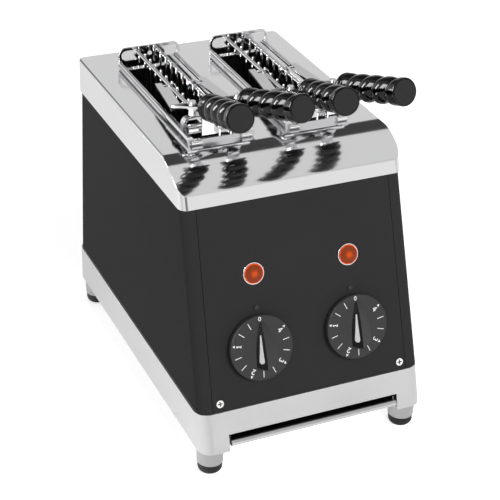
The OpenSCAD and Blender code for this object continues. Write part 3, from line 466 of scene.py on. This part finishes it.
def make_piece(name: str, points: Array, faces: Faces, finish: Finish, sharp_deg: float = SHARP_DEG) -> Piece:
    """Puts points and faces into a new smooth mesh object at the origin.

    Args:
        name: Name of the piece.
        points: Points in metres, one row each.
        faces: Point numbers of each face.
        finish: Finish of the piece.
        sharp_deg: Angle past which an edge stays sharp.

    Returns:
        The new object.
    """
    mesh = bpy.data.meshes.new(name)
    mesh.from_pydata(points.tolist(), [], faces)
    mesh.update()
    mesh.shade_smooth()
    mesh.set_sharp_from_angle(angle=math.radians(sharp_deg))
    mesh.materials.append(finish.material())
    piece = bpy.data.objects.new(name, mesh)
    bpy.context.scene.collection.objects.link(piece)
    return piece


def place(piece: Piece, body: str, *nodes: str) -> Piece:
    """Lets a piece ride on a body and stand for CAD nodes.

    Args:
        piece: The new piece.
        body: Name of the body that carries it.
        nodes: CAD nodes that it replaces.

    Returns:
        The same piece.
    """
    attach(piece, body)
    if nodes:
        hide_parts(*nodes)
    LOG.info("%s rides on %s", piece.name, body)
    return piece


@dataclass(frozen=True)
class Rounding:
    """Small radius that folding, moulding or tumbling leaves on the edges of a CAD node."""

    width_mm: float
    segments: int = 2
    sharp_deg: float = 38.0
    # Finish of the rounded faces, if any; the front panel's is black painted shade for its seams.
    edge: Finish | None = None


def smooth_copy(node: str, finish: Finish, rounding: Rounding | None = None) -> Piece:
    """Makes a smooth copy of a CAD node, with its points merged and its edges slightly rounded.

    Args:
        node: Name of the CAD node.
        finish: Finish of the copy.
        rounding: Radius of its edges, or none.

    Returns:
        The copy, which stands for the node.
    """
    source = frame["nodes"][node]
    work = bmesh.new()
    work.from_mesh(source.data)
    bmesh.ops.remove_doubles(work, verts=work.verts, dist=MERGE_M)
    bmesh.ops.dissolve_limit(work, angle_limit=math.radians(FLAT_DEG), verts=work.verts, edges=work.edges)
    work.verts.index_update()
    points = np.array([v.co for v in work.verts], float).reshape(-1, 3)
    faces = [[v.index for v in f.verts] for f in work.faces]
    work.free()
    sharp = rounding.sharp_deg if rounding else SHARP_DEG
    piece = make_piece(node + "_dressed", points, faces, finish, sharp)
    if rounding:
        bevel = piece.modifiers.new("edges", "BEVEL")
        bevel.width = rounding.width_mm * MM
        bevel.segments = rounding.segments
        bevel.limit_method = "ANGLE"
        bevel.angle_limit = math.radians(rounding.sharp_deg)
        bevel.harden_normals = True
        # The rounded faces take the edge finish, which paints the seams' shade on the front panel.
        if rounding.edge:
            piece.data.materials.append(rounding.edge.material())
            bevel.material = 1
    return place(piece, source["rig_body"], node)


def node_points(node: str) -> Array:
    """Reads the points of a CAD node's mesh.

    Args:
        node: Name of the CAD node.

    Returns:
        Points in metres, one row each.
    """
    mesh = frame["nodes"][node].data
    points = np.empty(3 * len(mesh.vertices))
    mesh.vertices.foreach_get("co", points)
    return points.reshape(-1, 3)


def face_values(mesh: Mesh, name: str) -> Array:
    """Reads one vector of each face of a mesh.

    Args:
        mesh: The mesh.
        name: Which vector, normal or center.

    Returns:
        The vectors, one row each.
    """
    values = np.empty(3 * len(mesh.polygons))
    mesh.polygons.foreach_get(name, values)
    return values.reshape(-1, 3)


def panel_axes() -> tuple[Array, Array, Array]:
    """Works out the leaning front's own axes, by the axis of a dial's joint.

    Returns:
        Unit vectors across, up and out of the front.
    """
    joint = next(j for j in frame["joints"] if j["name"] == "left_dial_turn")
    out = -np.array(joint["axis"])
    across = np.array([1.0, 0.0, 0.0])
    return across, np.cross(out, across), out


def dress(finish: Finish, *nodes: str) -> None:
    """Gives CAD nodes that keep their own mesh a finish.

    Args:
        finish: The finish.
        nodes: Names of the nodes.
    """
    for node in nodes:
        mesh = frame["nodes"][node].data
        mesh.materials.clear()
        mesh.materials.append(finish.material())
        LOG.info("%s dressed in %s", node, finish.name)


@dataclass
class Shell:
    """Base, casing, panels, cover, tray and feet: CAD nodes with rounded edges and their finishes."""

    fold_mm: float = 0.5
    band_mm: float = 0.7
    crease_deg: float = 17.0
    paint_mm: float = 0.6
    cross_depth_mm: float = 0.15
    cross_radius_mm: float = 2.2

    def build(self) -> None:
        """Dresses the shell from the base up."""
        fold, paint = Rounding(self.fold_mm), Rounding(self.paint_mm)
        smooth_copy("base_frame", SATIN_STEEL, Rounding(self.band_mm, 3))
        smooth_copy("crumb_tray", SATIN_STEEL, fold)
        smooth_copy("feet", TURNED_ALUMINIUM, fold)
        smooth_copy("foot_pads", RUBBER)
        smooth_copy("casing", STOVE_PAINT, paint)
        # Painted shade: the panel's rounded edges are black as the shade in its seams.
        smooth_copy("front_panel", STOVE_PAINT, Rounding(self.paint_mm, edge=PAINTED_SHADE_BLACK))
        smooth_copy("rear_panel", STOVE_PAINT, paint)
        smooth_copy("top_cover", POLISHED_STEEL, Rounding(self.fold_mm, 3, self.crease_deg))
        self.screws(smooth_copy("panel_screws", NICKEL_PLATE).data)
        dress(ZINC_PLATE, "rear_screws", "foot_screws", "tray_runners")
        dress(MOULDED_BLACK, "cable_gland", "setting_marks")

    def screws(self, mesh: Mesh) -> None:
        """Paints shade into the cross in each panel screw: the faces that lie near its axis and below the head's top
        turn black.

        Args:
            mesh: Mesh of the two screws.
        """
        out = panel_axes()[2]
        middles = face_values(mesh, "center")
        height = middles @ out
        depth, limit = self.cross_depth_mm * MM, self.cross_radius_mm * MM
        inside = np.zeros(len(middles), bool)
        for half in (middles[:, 0] < 0, middles[:, 0] > 0):
            low, high = middles[half].min(0), middles[half].max(0)
            top = height[half].max()
            away = middles - (low + high) / 2
            away = np.linalg.norm(away - (away @ out)[:, None] * out, axis=1)
            inside |= half & (away < limit) & (height < top - depth) & (height > top - limit)
        # Painted shade: the cross's faces take the black that stands in for their shade.
        mesh.materials.append(PAINTED_SHADE_BLACK.material())
        mesh.polygons.foreach_set("material_index", inside.astype(np.int32))


@dataclass
class Chamber:
    """What shows inside the slots: bulkheads, reflectors, heating tubes and guards."""

    def build(self) -> None:
        """Dresses the pieces inside."""
        # Painted shade: the zinc pieces are darkened as the shade inside the slots.
        dress(SHADED_ZINC, "front_bulkhead", "rear_bulkhead", "reflectors", "slot_guards", "left_timer", "right_timer")
        dress(QUARTZ, "quartz_tubes")
        dress(STEATITE, "element_caps", "terminal_block")


def arc(middle: tuple[float, float], radii: tuple[float, float], start_deg: float, stop_deg: float) -> Array:
    """Gives 24 points on an ellipse from one angle to another, one row each."""
    angle = np.radians(np.linspace(start_deg, stop_deg, 24))
    return np.column_stack([middle[0] + radii[0] * np.cos(angle), middle[1] + radii[1] * np.sin(angle)])


# Strokes of the printed figures, as paths in a box of height one round the origin.
STROKES: dict[str, list[Array]] = {
    "0": [arc((0, 0), (0.26, 0.42), 90, 450)],
    "1": [
        np.array([[-0.2, 0.2], [0.05, 0.44]]),
        np.array([[0.05, 0.5], [0.05, -0.5]]),
        np.array([[-0.17, -0.42], [0.27, -0.42]]),
    ],
    "2": [
        np.vstack([arc((0, 0.18), (0.25, 0.25), 165, -35), [[-0.25, -0.4]]]),
        np.array([[-0.32, -0.42], [0.3, -0.42]]),
    ],
    "3": [arc((-0.02, 0.2), (0.23, 0.22), 150, -90), arc((-0.02, -0.2), (0.27, 0.22), 90, -150)],
    "4": [
        np.array([[0.12, 0.5], [0.12, -0.5]]),
        np.array([[0.12, 0.44], [-0.28, -0.17]]),
        np.array([[-0.34, -0.18], [0.32, -0.18]]),
    ],
}


@dataclass
class Dial:
    """One timer dial: its knob, inlay and printed scale."""

    side: str
    edge: Rounding = Rounding(0.5, 3, 30.0)
    ink_mm: float = 0.12
    range_deg: float = 305.0
    steps: int = 12
    steps_a_figure: int = 3
    tick_inner_mm: float = 20.8
    tick_outer_mm: float = 27.2
    tick_width_mm: float = 0.6
    digit_radius_mm: float = 22.9
    digit_height_mm: float = 5.1
    digit_weight: float = 0.155
    zero_radius_mm: float = 26.9
    zero_height_mm: float = 4.0
    arrow_inner_mm: float = 26.7
    arrow_outer_mm: float = 29.0
    arrow_width_mm: float = 2.5
    left_lean: float = 0.5
    out_lean: float = 0.1
    blade_share: float = 0.85
    rim_share: float = 0.9

    def build(self) -> None:
        """Dresses the knob and prints its scale."""
        knob = smooth_copy(f"{self.side}_knob", MOULDED_BLACK, self.edge)
        self.blacken(knob.data)
        dress(BRUSHED_ALUMINIUM, f"{self.side}_knob_insert")
        dress(ZINC_PLATE, f"{self.side}_shaft")
        flat, faces = self.scale()
        points = self.on_face(flat)
        place(make_piece(f"{self.side}_dial_scale", points, faces, PRINT_WHITE), f"{self.side}_dial")

    def blacken(self, mesh: Mesh) -> None:
        """Paints shade on the blade's left face, round the inlay: the faces near the axis that lean to the left turn
        black.

        Args:
            mesh: Mesh of the knob.
        """
        across, up, out = panel_axes()
        normals, middles = face_values(mesh, "normal"), face_values(mesh, "center")
        low, high = middles.min(0), middles.max(0)
        away = middles - (low + high) / 2
        away = np.hypot(away @ across, away @ up)
        leans_left = (normals @ across < -self.left_lean) & (normals @ out > self.out_lean)
        on_blade = leans_left & (away < self.blade_share * away.max())
        # Painted shade: the blade's left face turns black as the shade it lies in.
        mesh.materials.append(PAINTED_SHADE_BLACK.material())
        mesh.polygons.foreach_set("material_index", on_blade.astype(np.int32))

    def scale(self) -> tuple[Array, Faces]:
        """Lays out the printed marks on the dial's plane: ticks, figures and arrow heads.

        Returns:
            Points as X, Y and height in millimetres, and their faces.
        """
        points: list[Array] = []
        faces: Faces = []
        for i in range(self.steps + 1):
            turn = math.radians(i * self.range_deg / self.steps)
            figure, between = divmod(i, self.steps_a_figure)
            if between:
                marks = [self.tick()]
            elif figure == 0:
                marks = [self.figure("0", self.zero_height_mm, self.zero_radius_mm)]
            else:
                marks = [self.figure(str(figure), self.digit_height_mm, self.digit_radius_mm), self.arrow()]
            for flat, flat_faces in marks:
                start = sum(len(p) for p in points)
                points.append(self.raised(flat, turn))
                faces += self.ink_faces(flat_faces, len(flat), start)
        return np.vstack(points), faces

    def tick(self) -> tuple[Array, Faces]:
        """Draws one straight mark at the top of the dial, as a rectangle.

        Returns:
            Flat points and faces.
        """
        half = self.tick_width_mm / 2
        low, high = self.tick_inner_mm, self.tick_outer_mm
        return np.array([[-half, low], [half, low], [half, high], [-half, high]]), [[0, 1, 2, 3]]

    def arrow(self) -> tuple[Array, Faces]:
        """Draws one arrow head that points outwards, as a triangle.

        Returns:
            Flat points and faces.
        """
        half, low = self.arrow_width_mm / 2, self.arrow_inner_mm
        return np.array([[-half, low], [half, low], [0, self.arrow_outer_mm]]), [[0, 1, 2]]

    def figure(self, sign: str, height: float, radius: float) -> tuple[Array, Faces]:
        """Draws one figure as ribbons of even width along its strokes, with its middle on the radius.

        A ribbon's sides are the stroke's points, moved by half the width square to the stroke's gradient.

        Args:
            sign: The figure.
            height: Height in millimetres.
            radius: Distance of its middle from the dial's axis.

        Returns:
            Flat points and faces.
        """
        points: list[Array] = []
        faces: Faces = []
        for stroke in STROKES[sign]:
            along = np.gradient(stroke, axis=0)
            along /= np.linalg.norm(along, axis=1, keepdims=True)
            side = np.column_stack([-along[:, 1], along[:, 0]]) * self.digit_weight / 2
            start, count = sum(len(p) for p in points), len(stroke)
            points.append(np.vstack([stroke + side, stroke - side]))
            here = start + np.arange(count - 1)
            faces += np.column_stack([here, here + count, here + count + 1, here + 1]).tolist()
        return np.vstack(points) * height + np.array([0, radius]), faces

    def raised(self, flat: Array, turn: float) -> Array:
        """Turns flat points anticlockwise about the axis and doubles them to the ink's thickness.

        Args:
            flat: Points on the dial's plane in millimetres.
            turn: Angle in radians.

        Returns:
            The points on the face, then the same points on top of the ink.
        """
        rotate = np.array([[math.cos(turn), -math.sin(turn)], [math.sin(turn), math.cos(turn)]])
        turned = flat @ rotate.T
        layers = [np.column_stack([turned, np.full(len(flat), h)]) for h in (0.0, self.ink_mm)]
        return np.vstack(layers)

    @staticmethod
    def ink_faces(flat_faces: Faces, count: int, start: int) -> Faces:
        """Closes one mark: its top, its underside and a wall along each outer edge.

        Args:
            flat_faces: Faces of the flat mark.
            count: Number of its flat points.
            start: Number of its first point in the whole scale.

        Returns:
            Faces of the closed mark.
        """
        edges = {(a, b) for f in flat_faces for a, b in zip(f, f[1:] + f[:1])}
        rim = [(a, b) for a, b in edges if (b, a) not in edges]
        top = [[start + count + i for i in f] for f in flat_faces]
        under = [[start + i for i in reversed(f)] for f in flat_faces]
        walls = [[start + a, start + b, start + count + b, start + count + a] for a, b in sorted(rim)]
        return top + under + walls

    def on_face(self, flat: Array) -> Array:
        """Puts points of the dial's plane on the knob's face, by the joint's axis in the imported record.

        Args:
            flat: X, Y and height in millimetres.

        Returns:
            Points in metres in the model's frame.
        """
        joint = next(j for j in frame["joints"] if j["name"] == f"{self.side}_dial_turn")
        across, up, out = panel_axes()
        middle = np.array(joint["pos_m"])
        knob = node_points(f"{self.side}_knob") - middle
        height = knob @ out
        radius = np.linalg.norm(knob - height[:, None] * out, axis=1)
        face = height[radius > self.rim_share * radius.max()].max()
        return middle + face * out + (flat[:, :1] * across + flat[:, 1:2] * up + flat[:, 2:] * out) * MM


@dataclass
class Lamps:
    """Pilot lamps: bright rims and ribbed orange lenses."""

    rim: Rounding = Rounding(0.3)
    sharp_deg: float = 50.0
    eye_share: float = 0.01
    crown_share: float = 0.5
    ring_mm: float = 1.5
    ring_depth_mm: float = 0.1
    edge_share: float = 0.9
    rows: int = 60
    columns: int = 72

    def build(self) -> None:
        """Dresses the rims and makes both lenses as one piece."""
        smooth_copy("lamp_bezels", CHROME, self.rim)
        points = node_points("lamp_lenses")
        left, left_share = self.lens(points[points[:, 0] < 0])
        right, right_share = self.lens(points[points[:, 0] > 0])
        faces = grid_faces(self.rows + 1, self.columns, True)
        faces = np.vstack([faces, faces + len(left)]).tolist()
        for start in (0, len(left)):
            faces.append([start + i for i in range(self.columns)][::-1])
            faces.append([start + self.rows * self.columns + i for i in range(self.columns)])
        piece = make_piece("lamp_lenses_ribbed", np.vstack([left, right]), faces, ORANGE_ACRYLIC, self.sharp_deg)
        shares = np.concatenate([left_share, right_share])
        piece.data.attributes.new("radial", "FLOAT", "POINT").data.foreach_set("value", shares)
        place(piece, frame["nodes"]["lamp_lenses"]["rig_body"], "lamp_lenses")

    def lens(self, points: Array) -> tuple[Array, Array]:
        """Works out one lens as rings round the axis of its CAD solid.

        The radius runs from nothing to the solid's own and stays there down to its foot. The height is a shallow
        crown, by the square of the radius, less rings by the cosine of the radius over the ring spacing.

        Args:
            points: Points of the CAD lens in metres.

        Returns:
            Points in metres, and the share of the radius at each point.
        """
        across, up, out = panel_axes()
        middle = (points.min(0) + points.max(0)) / 2
        height = (points - middle) @ out
        radius = np.linalg.norm(points - middle - height[:, None] * out, axis=1).max()
        low, high = height.min(), height.max()
        share = np.concatenate([np.linspace(self.eye_share, 1, self.rows), [1.0]])
        crown = (high - low) * self.crown_share
        ring = self.ring_depth_mm * MM * 0.5 * (1 - np.cos(2 * math.pi * share * radius / (self.ring_mm * MM)))
        level = high - crown * share**2 - np.where(share < self.edge_share, ring, 0)
        level[-1] = low
        angle = np.linspace(0, 2 * math.pi, self.columns, endpoint=False)
        spread = (share * radius)[:, None, None] * (
            np.cos(angle)[None, :, None] * across + np.sin(angle)[None, :, None] * up
        )
        surface = middle + spread + level[:, None, None] * out
        return surface.reshape(-1, 3)[::-1], np.repeat(share, self.columns)[::-1]


@dataclass
class Grip:
    """One twisted grip: ringed collar, single-start twist and end cap, as one closed surface."""

    tong: str
    side: str
    tong_x_mm: float
    turn: float
    tong_y_mm: float = -44.5
    collar_mm: Triple = (17.6, -22.0, 42.0)
    spread_deg: float = 6.8
    tilt_deg: float = 18.4
    length_mm: float = 90.0
    radius_mm: float = 12.25
    collar_length_mm: float = 8.0
    groove_mm: float = 2.4
    groove_width_mm: float = 1.3
    cap_mm: float = 6.5
    cap_round_mm: float = 1.4
    pitch_mm: float = 20.5
    depth_mm: float = 3.6
    bulge: float = 2.1
    blend_mm: float = 2.6
    rows: int = 340
    columns: int = 72
    start_share: float = 0.3
    end_share: float = 0.86
    sharp_deg: float = 60.0

    def build(self) -> None:
        """Makes the grip and its matt end, in place of the CAD grip."""
        points, faces = self.surface()
        name = f"{self.tong}_tong_{self.side}_grip"
        piece = make_piece(name + "_twisted", points, faces, GLOSS_BLACK, self.sharp_deg)
        piece.data.materials.append(MATT_END.material())
        last = len(piece.data.polygons) - 1
        piece.data.polygons[last].material_index = 1
        place(piece, f"{self.tong}_tong_{self.side}_arm", name)

    def surface(self) -> tuple[Array, Faces]:
        """Works out the grip as rings of points along its axis.

        The radius is the collar's, less a bell-shaped neck, the twist's or the cap's. In the twist it falls from
        each crest to a narrow groove by a power of the distance from the crest, as a share of half the pitch. The
        crest's place is the length over the pitch plus the angle over a turn, so the twist is left-handed.

        Returns:
            Points in metres and faces, the last of which is the matt end.
        """
        along = np.concatenate([[0.0, 0.0], np.linspace(0.0, self.length_mm, self.rows), [self.length_mm]])
        angle = np.linspace(0, 2 * math.pi, self.columns, endpoint=False)
        u, a = np.meshgrid(along, angle, indexing="ij")
        phase = (u - self.collar_length_mm) / self.pitch_mm + a / (2 * math.pi) - self.turn
        twist = self.radius_mm - self.depth_mm * (2 * np.abs(phase - np.round(phase))) ** self.bulge
        neck = (u - self.collar_length_mm + 2 * self.groove_width_mm) / self.groove_width_mm
        collar = self.radius_mm - self.groove_mm * np.exp(-(neck**2))
        start, stop = self.collar_length_mm, self.length_mm - self.cap_mm
        after = np.clip((u - start) / self.blend_mm + 0.5, 0, 1)
        before = np.clip((stop - u) / self.blend_mm + 0.5, 0, 1)
        share = np.minimum(after, before)
        share = share * share * (3 - 2 * share)
        solid = np.where(u < self.length_mm / 2, collar, self.radius_mm)
        radius = share * twist + (1 - share) * solid
        into_end = np.clip(self.cap_round_mm - (self.length_mm - u), 0, self.cap_round_mm)
        radius = radius - self.cap_round_mm + np.sqrt(self.cap_round_mm**2 - into_end**2)
        into_start = np.clip(self.cap_round_mm - u, 0, self.cap_round_mm)
        radius = radius - self.cap_round_mm + np.sqrt(self.cap_round_mm**2 - into_start**2)
        radius[0] = self.radius_mm * self.start_share
        radius[-1] = self.radius_mm * self.end_share
        local = np.stack([radius * np.cos(a), radius * np.sin(a), u], axis=-1).reshape(-1, 3)
        rows = len(along)
        faces = grid_faces(rows, self.columns, True).tolist()
        faces.append(list(range(self.columns))[::-1])
        faces.append([(rows - 1) * self.columns + i for i in range(self.columns)])
        return self.in_place(local), faces

    def in_place(self, local: Array) -> Array:
        """Carries points from the grip's own axis to its place on the lever.

        Args:
            local: Points in millimetres, with Z along the grip from its collar.

        Returns:
            Points in metres in the model's frame.
        """
        sign = 1 if self.side == "right" else -1
        turn = Matrix.Rotation(math.radians(sign * self.spread_deg), 3, "Z") @ Matrix.Rotation(
            math.radians(90 - self.tilt_deg), 3, "X"
        )
        start = np.array([sign * self.collar_mm[0], self.collar_mm[1], self.collar_mm[2]])
        tong = np.array([self.tong_x_mm, self.tong_y_mm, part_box("top_cover")[1][2] / MM])
        return (local @ np.array(turn).T + start + tong) * MM


@dataclass
class Tongs:
    """One sprung tongs: bright frame, levers and jaws, with its two grips."""

    tong: str
    x_mm: float
    turns: tuple[float, float] = (0.2, 0.135)
    edge_mm: float = 0.3
    squeeze_deg: float = 7.0
    spring_slack_mm: float = 0.2

    def build(self) -> None:
        """Dresses the frame and makes the grips."""
        edge = Rounding(self.edge_mm)
        name = f"{self.tong}_tong_"
        smooth_copy(name + "front_bracket", CHROME, edge)
        smooth_copy(name + "rear_bracket", CHROME, edge)
        for side, turn in zip(("left", "right"), self.turns):
            smooth_copy(f"{name}{side}_lever", CHROME, edge)
            smooth_copy(f"{name}{side}_rod", CHROME)
            smooth_copy(f"{name}{side}_jaw", CHROME)
            Grip(self.tong, side, self.x_mm, turn).build()
        smooth_copy(name + "rails", CHROME)
        smooth_copy(name + "barrel", CHROME)
        smooth_copy(name + "pivot_pins", CHROME)
        self.shorten(smooth_copy(name + "spring", CHROME))

    def shorten(self, spring: Piece) -> None:
        """Gives the finished return spring a mesh of its own.

        Args:
            spring: The finished spring.
        """
        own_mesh(spring)


class Role(Enum):
    """What a lamp is for: the even light on the object, or the highlights in its glossy pieces."""

    FILL = "fill"
    SPARKLE = "sparkle"


@dataclass(frozen=True)
class SoftBox:
    """One area lamp that faces the object."""

    role: Role
    spot_m: Triple
    size_m: tuple[float, float]
    power_w: float
    target_m: Triple = (0.0, 0.0, 0.17)

    def build(self) -> None:
        """Adds the lamp, which lights the object or shows in its reflections, by its role."""
        data = bpy.data.lights.new(self.role.value, "AREA")
        data.shape = "RECTANGLE"
        data.size, data.size_y = self.size_m
        data.energy = self.power_w
        lamp = bpy.data.objects.new(self.role.value, data)
        lamp.visible_glossy = self.role is Role.SPARKLE
        lamp.visible_diffuse = self.role is Role.FILL
        aim = Vector(self.target_m) - Vector(self.spot_m)
        lamp.matrix_world = Matrix.Translation(self.spot_m) @ aim.to_track_quat("-Z", "Y").to_matrix().to_4x4()
        bpy.context.scene.collection.objects.link(lamp)


@dataclass
class Studio:
    """Floor, soft lights, white surroundings and the camera at the photograph's place."""

    camera_m: Triple = (-0.52437, -1.14301, 0.85246)
    azimuth_deg: float = -24.955
    elevation_deg: float = 30.083
    roll_deg: float = 1.973
    lens_mm: float = 107.72
    sensor_mm: float = 36.0
    clip_m: tuple[float, float] = (0.05, 50.0)
    ambient: float = 0.35
    card: float = 0.06
    card_deg: Band = (32.0, 35.0, 64.0, 67.0)
    card_side: Band = (0.1, 0.2, 0.6, 0.7)
    sky: float = 0.8
    sky_height: Band = (0.06, 0.3, 2.0, 3.0)
    flag: float = 0.2
    left_flag: Band = (-0.42, -0.25, 0.08, 0.22)
    right_flag: Band = (0.64, 0.72, 0.85, 0.95)
    flag_height: Band = (-0.02, 0.1, 0.9, 0.98)
    floor_lift: tuple[float, float] = (0.66, 0.38)
    floor_m: float = 12.0
    lamps: tuple[SoftBox, ...] = (
        SoftBox(Role.FILL, (0.4, -2.2, 1.5), (1.2, 1.2), 54.0),
        SoftBox(Role.SPARKLE, (-1.8, 0.0, 1.2), (0.9, 1.3), 75.0),
        SoftBox(Role.SPARKLE, (-1.4, 1.35, 0.62), (0.4, 0.9), 25.0),
    )

    def build(self) -> None:
        """Sets the stage."""
        bpy.context.scene.view_settings.view_transform = "Standard"
        self.camera()
        self.world()
        self.floor()
        for lamp in self.lamps:
            lamp.build()

    def camera(self) -> None:
        """Places the camera by its azimuth, elevation and roll."""
        az, el, roll = (math.radians(d) for d in (self.azimuth_deg, self.elevation_deg, self.roll_deg))
        back = Vector((math.sin(az) * math.cos(el), -math.cos(az) * math.cos(el), math.sin(el)))
        right = Vector((math.cos(az), math.sin(az), 0))
        up = back.cross(right)
        across = math.cos(roll) * right + math.sin(roll) * up
        upright = -math.sin(roll) * right + math.cos(roll) * up
        data = bpy.data.cameras.new("camera")
        data.lens = self.lens_mm
        data.sensor_width = self.sensor_mm
        data.clip_start, data.clip_end = self.clip_m
        camera = bpy.data.objects.new("camera", data)
        camera.matrix_world = Matrix.Translation(self.camera_m) @ Matrix((across, upright, back)).transposed().to_4x4()
        bpy.context.scene.collection.objects.link(camera)
        bpy.context.scene.camera = camera

    def world(self) -> None:
        """Makes white surroundings. Reflections see them greyer above, with a dark card and a flag on either side."""
        world = bpy.data.worlds.new("studio")
        world.use_nodes = True
        bpy.context.scene.world = world
        tree = world.node_tree
        direction = add_node(tree, "ShaderNodeTexCoord").outputs["Generated"]
        parts = add_node(tree, "ShaderNodeSeparateXYZ", links={0: direction})
        side, height = parts.outputs["X"], parts.outputs["Z"]
        angle = add_node(
            tree, "ShaderNodeMath", settings={"operation": "ARCTAN2"}, links={0: height, 1: parts.outputs["Y"]}
        ).outputs[0]
        spans = [
            (self.card, [(angle, tuple(math.radians(d) for d in self.card_deg)), (side, self.card_side)]),
            (self.sky, [(height, self.sky_height)]),
            (self.flag, [(side, self.left_flag), (height, self.flag_height)]),
            (self.flag, [(side, self.right_flag), (height, self.flag_height)]),
        ]
        dark = None
        for level, bounds in spans:
            cut = self.band(tree, 1 - level, bounds)
            links = {0: cut, 1: dark} if dark else {0: cut}
            dark = add_node(tree, "ShaderNodeMath", {"operation": "MAXIMUM"}, {1: 0.0}, links).outputs[0]
        seen = add_node(
            tree, "ShaderNodeMath", settings={"operation": "SUBTRACT"}, inputs={0: 1.0}, links={1: dark}
        ).outputs[0]
        path = add_node(tree, "ShaderNodeLightPath")
        mirrored = add_node(
            tree,
            "ShaderNodeMath",
            settings={"operation": "MAXIMUM"},
            links={0: path.outputs["Is Glossy Ray"], 1: path.outputs["Is Transmission Ray"]},
        ).outputs[0]
        strength = add_node(tree, "ShaderNodeMix", inputs={2: self.ambient}, links={0: mirrored, 3: seen}).outputs[0]
        strength = add_node(
            tree, "ShaderNodeMix", inputs={3: 1.0}, links={0: path.outputs["Is Camera Ray"], 2: strength}
        ).outputs[0]
        back = tree.nodes["Background"]
        back.inputs["Color"].default_value = (1, 1, 1, 1)
        tree.links.new(strength, back.inputs["Strength"])

    @staticmethod
    def band(tree: NodeTree, depth: float, bounds: list[tuple[Socket, Band]]) -> Socket:
        """Gives a socket with a depth where every value lies in its band, and nothing outside it.

        Args:
            tree: Node tree of the world.
            depth: What is given inside.
            bounds: Sockets with the four places where their band starts, is full, fades and ends.

        Returns:
            The output socket.
        """
        inside = None
        for value, (start, full, fade, end) in bounds:
            for low, high in ((start, full), (end, fade)):
                ramp = add_node(
                    tree,
                    "ShaderNodeMapRange",
                    settings={"interpolation_type": "SMOOTHSTEP"},
                    inputs={"From Min": low, "From Max": high},
                    links={"Value": value},
                ).outputs["Result"]
                links = {0: ramp, 1: inside} if inside else {0: ramp}
                inside = add_node(tree, "ShaderNodeMath", {"operation": "MULTIPLY"}, {1: depth}, links).outputs[0]
        return inside

    def floor(self) -> None:
        """Lays a wide pale floor that keeps the object's shadow, lifted to white for the camera."""
        grid = np.linspace(-self.floor_m, self.floor_m, 3)
        x, y = np.meshgrid(grid, grid, indexing="xy")
        points = np.column_stack([x.ravel(), y.ravel(), np.zeros(x.size)])
        paper = GrainedCoat("white paper floor", "#f7f7f7", 0.9, grain_mm=4.0, grain_depth_mm=0.01, shade=0.01)
        floor = make_piece("floor", points, grid_faces(3, 3, False).tolist(), paper)
        tree = paper.material().node_tree
        path = add_node(tree, "ShaderNodeLightPath")
        lift = add_node(
            tree,
            "ShaderNodeMath",
            settings={"operation": "MULTIPLY"},
            inputs={1: self.floor_lift[1]},
            links={0: path.outputs["Is Glossy Ray"]},
        ).outputs[0]
        lift = add_node(
            tree,
            "ShaderNodeMath",
            settings={"operation": "MULTIPLY_ADD"},
            inputs={1: self.floor_lift[0]},
            links={0: path.outputs["Is Camera Ray"], 2: lift},
        ).outputs[0]
        glow = add_node(tree, "ShaderNodeEmission", links={"Strength": lift}).outputs[0]
        shader = tree.nodes["Principled BSDF"]
        total = add_node(tree, "ShaderNodeAddShader", links={0: shader.outputs[0], 1: glow}).outputs[0]
        tree.links.new(total, tree.nodes["Material Output"].inputs["Surface"])


def main() -> None:
    logging.basicConfig(level=logging.INFO, format="%(name)s: %(message)s")
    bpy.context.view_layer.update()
    Studio().build()
    Shell().build()
    Chamber().build()
    Dial("left").build()
    Dial("right").build()
    Lamps().build()
    Tongs("left", -TONG_X_MM).build()
    Tongs("right", TONG_X_MM).build()
    bpy.context.view_layer.update()


if __name__ == "__main__":
    main()
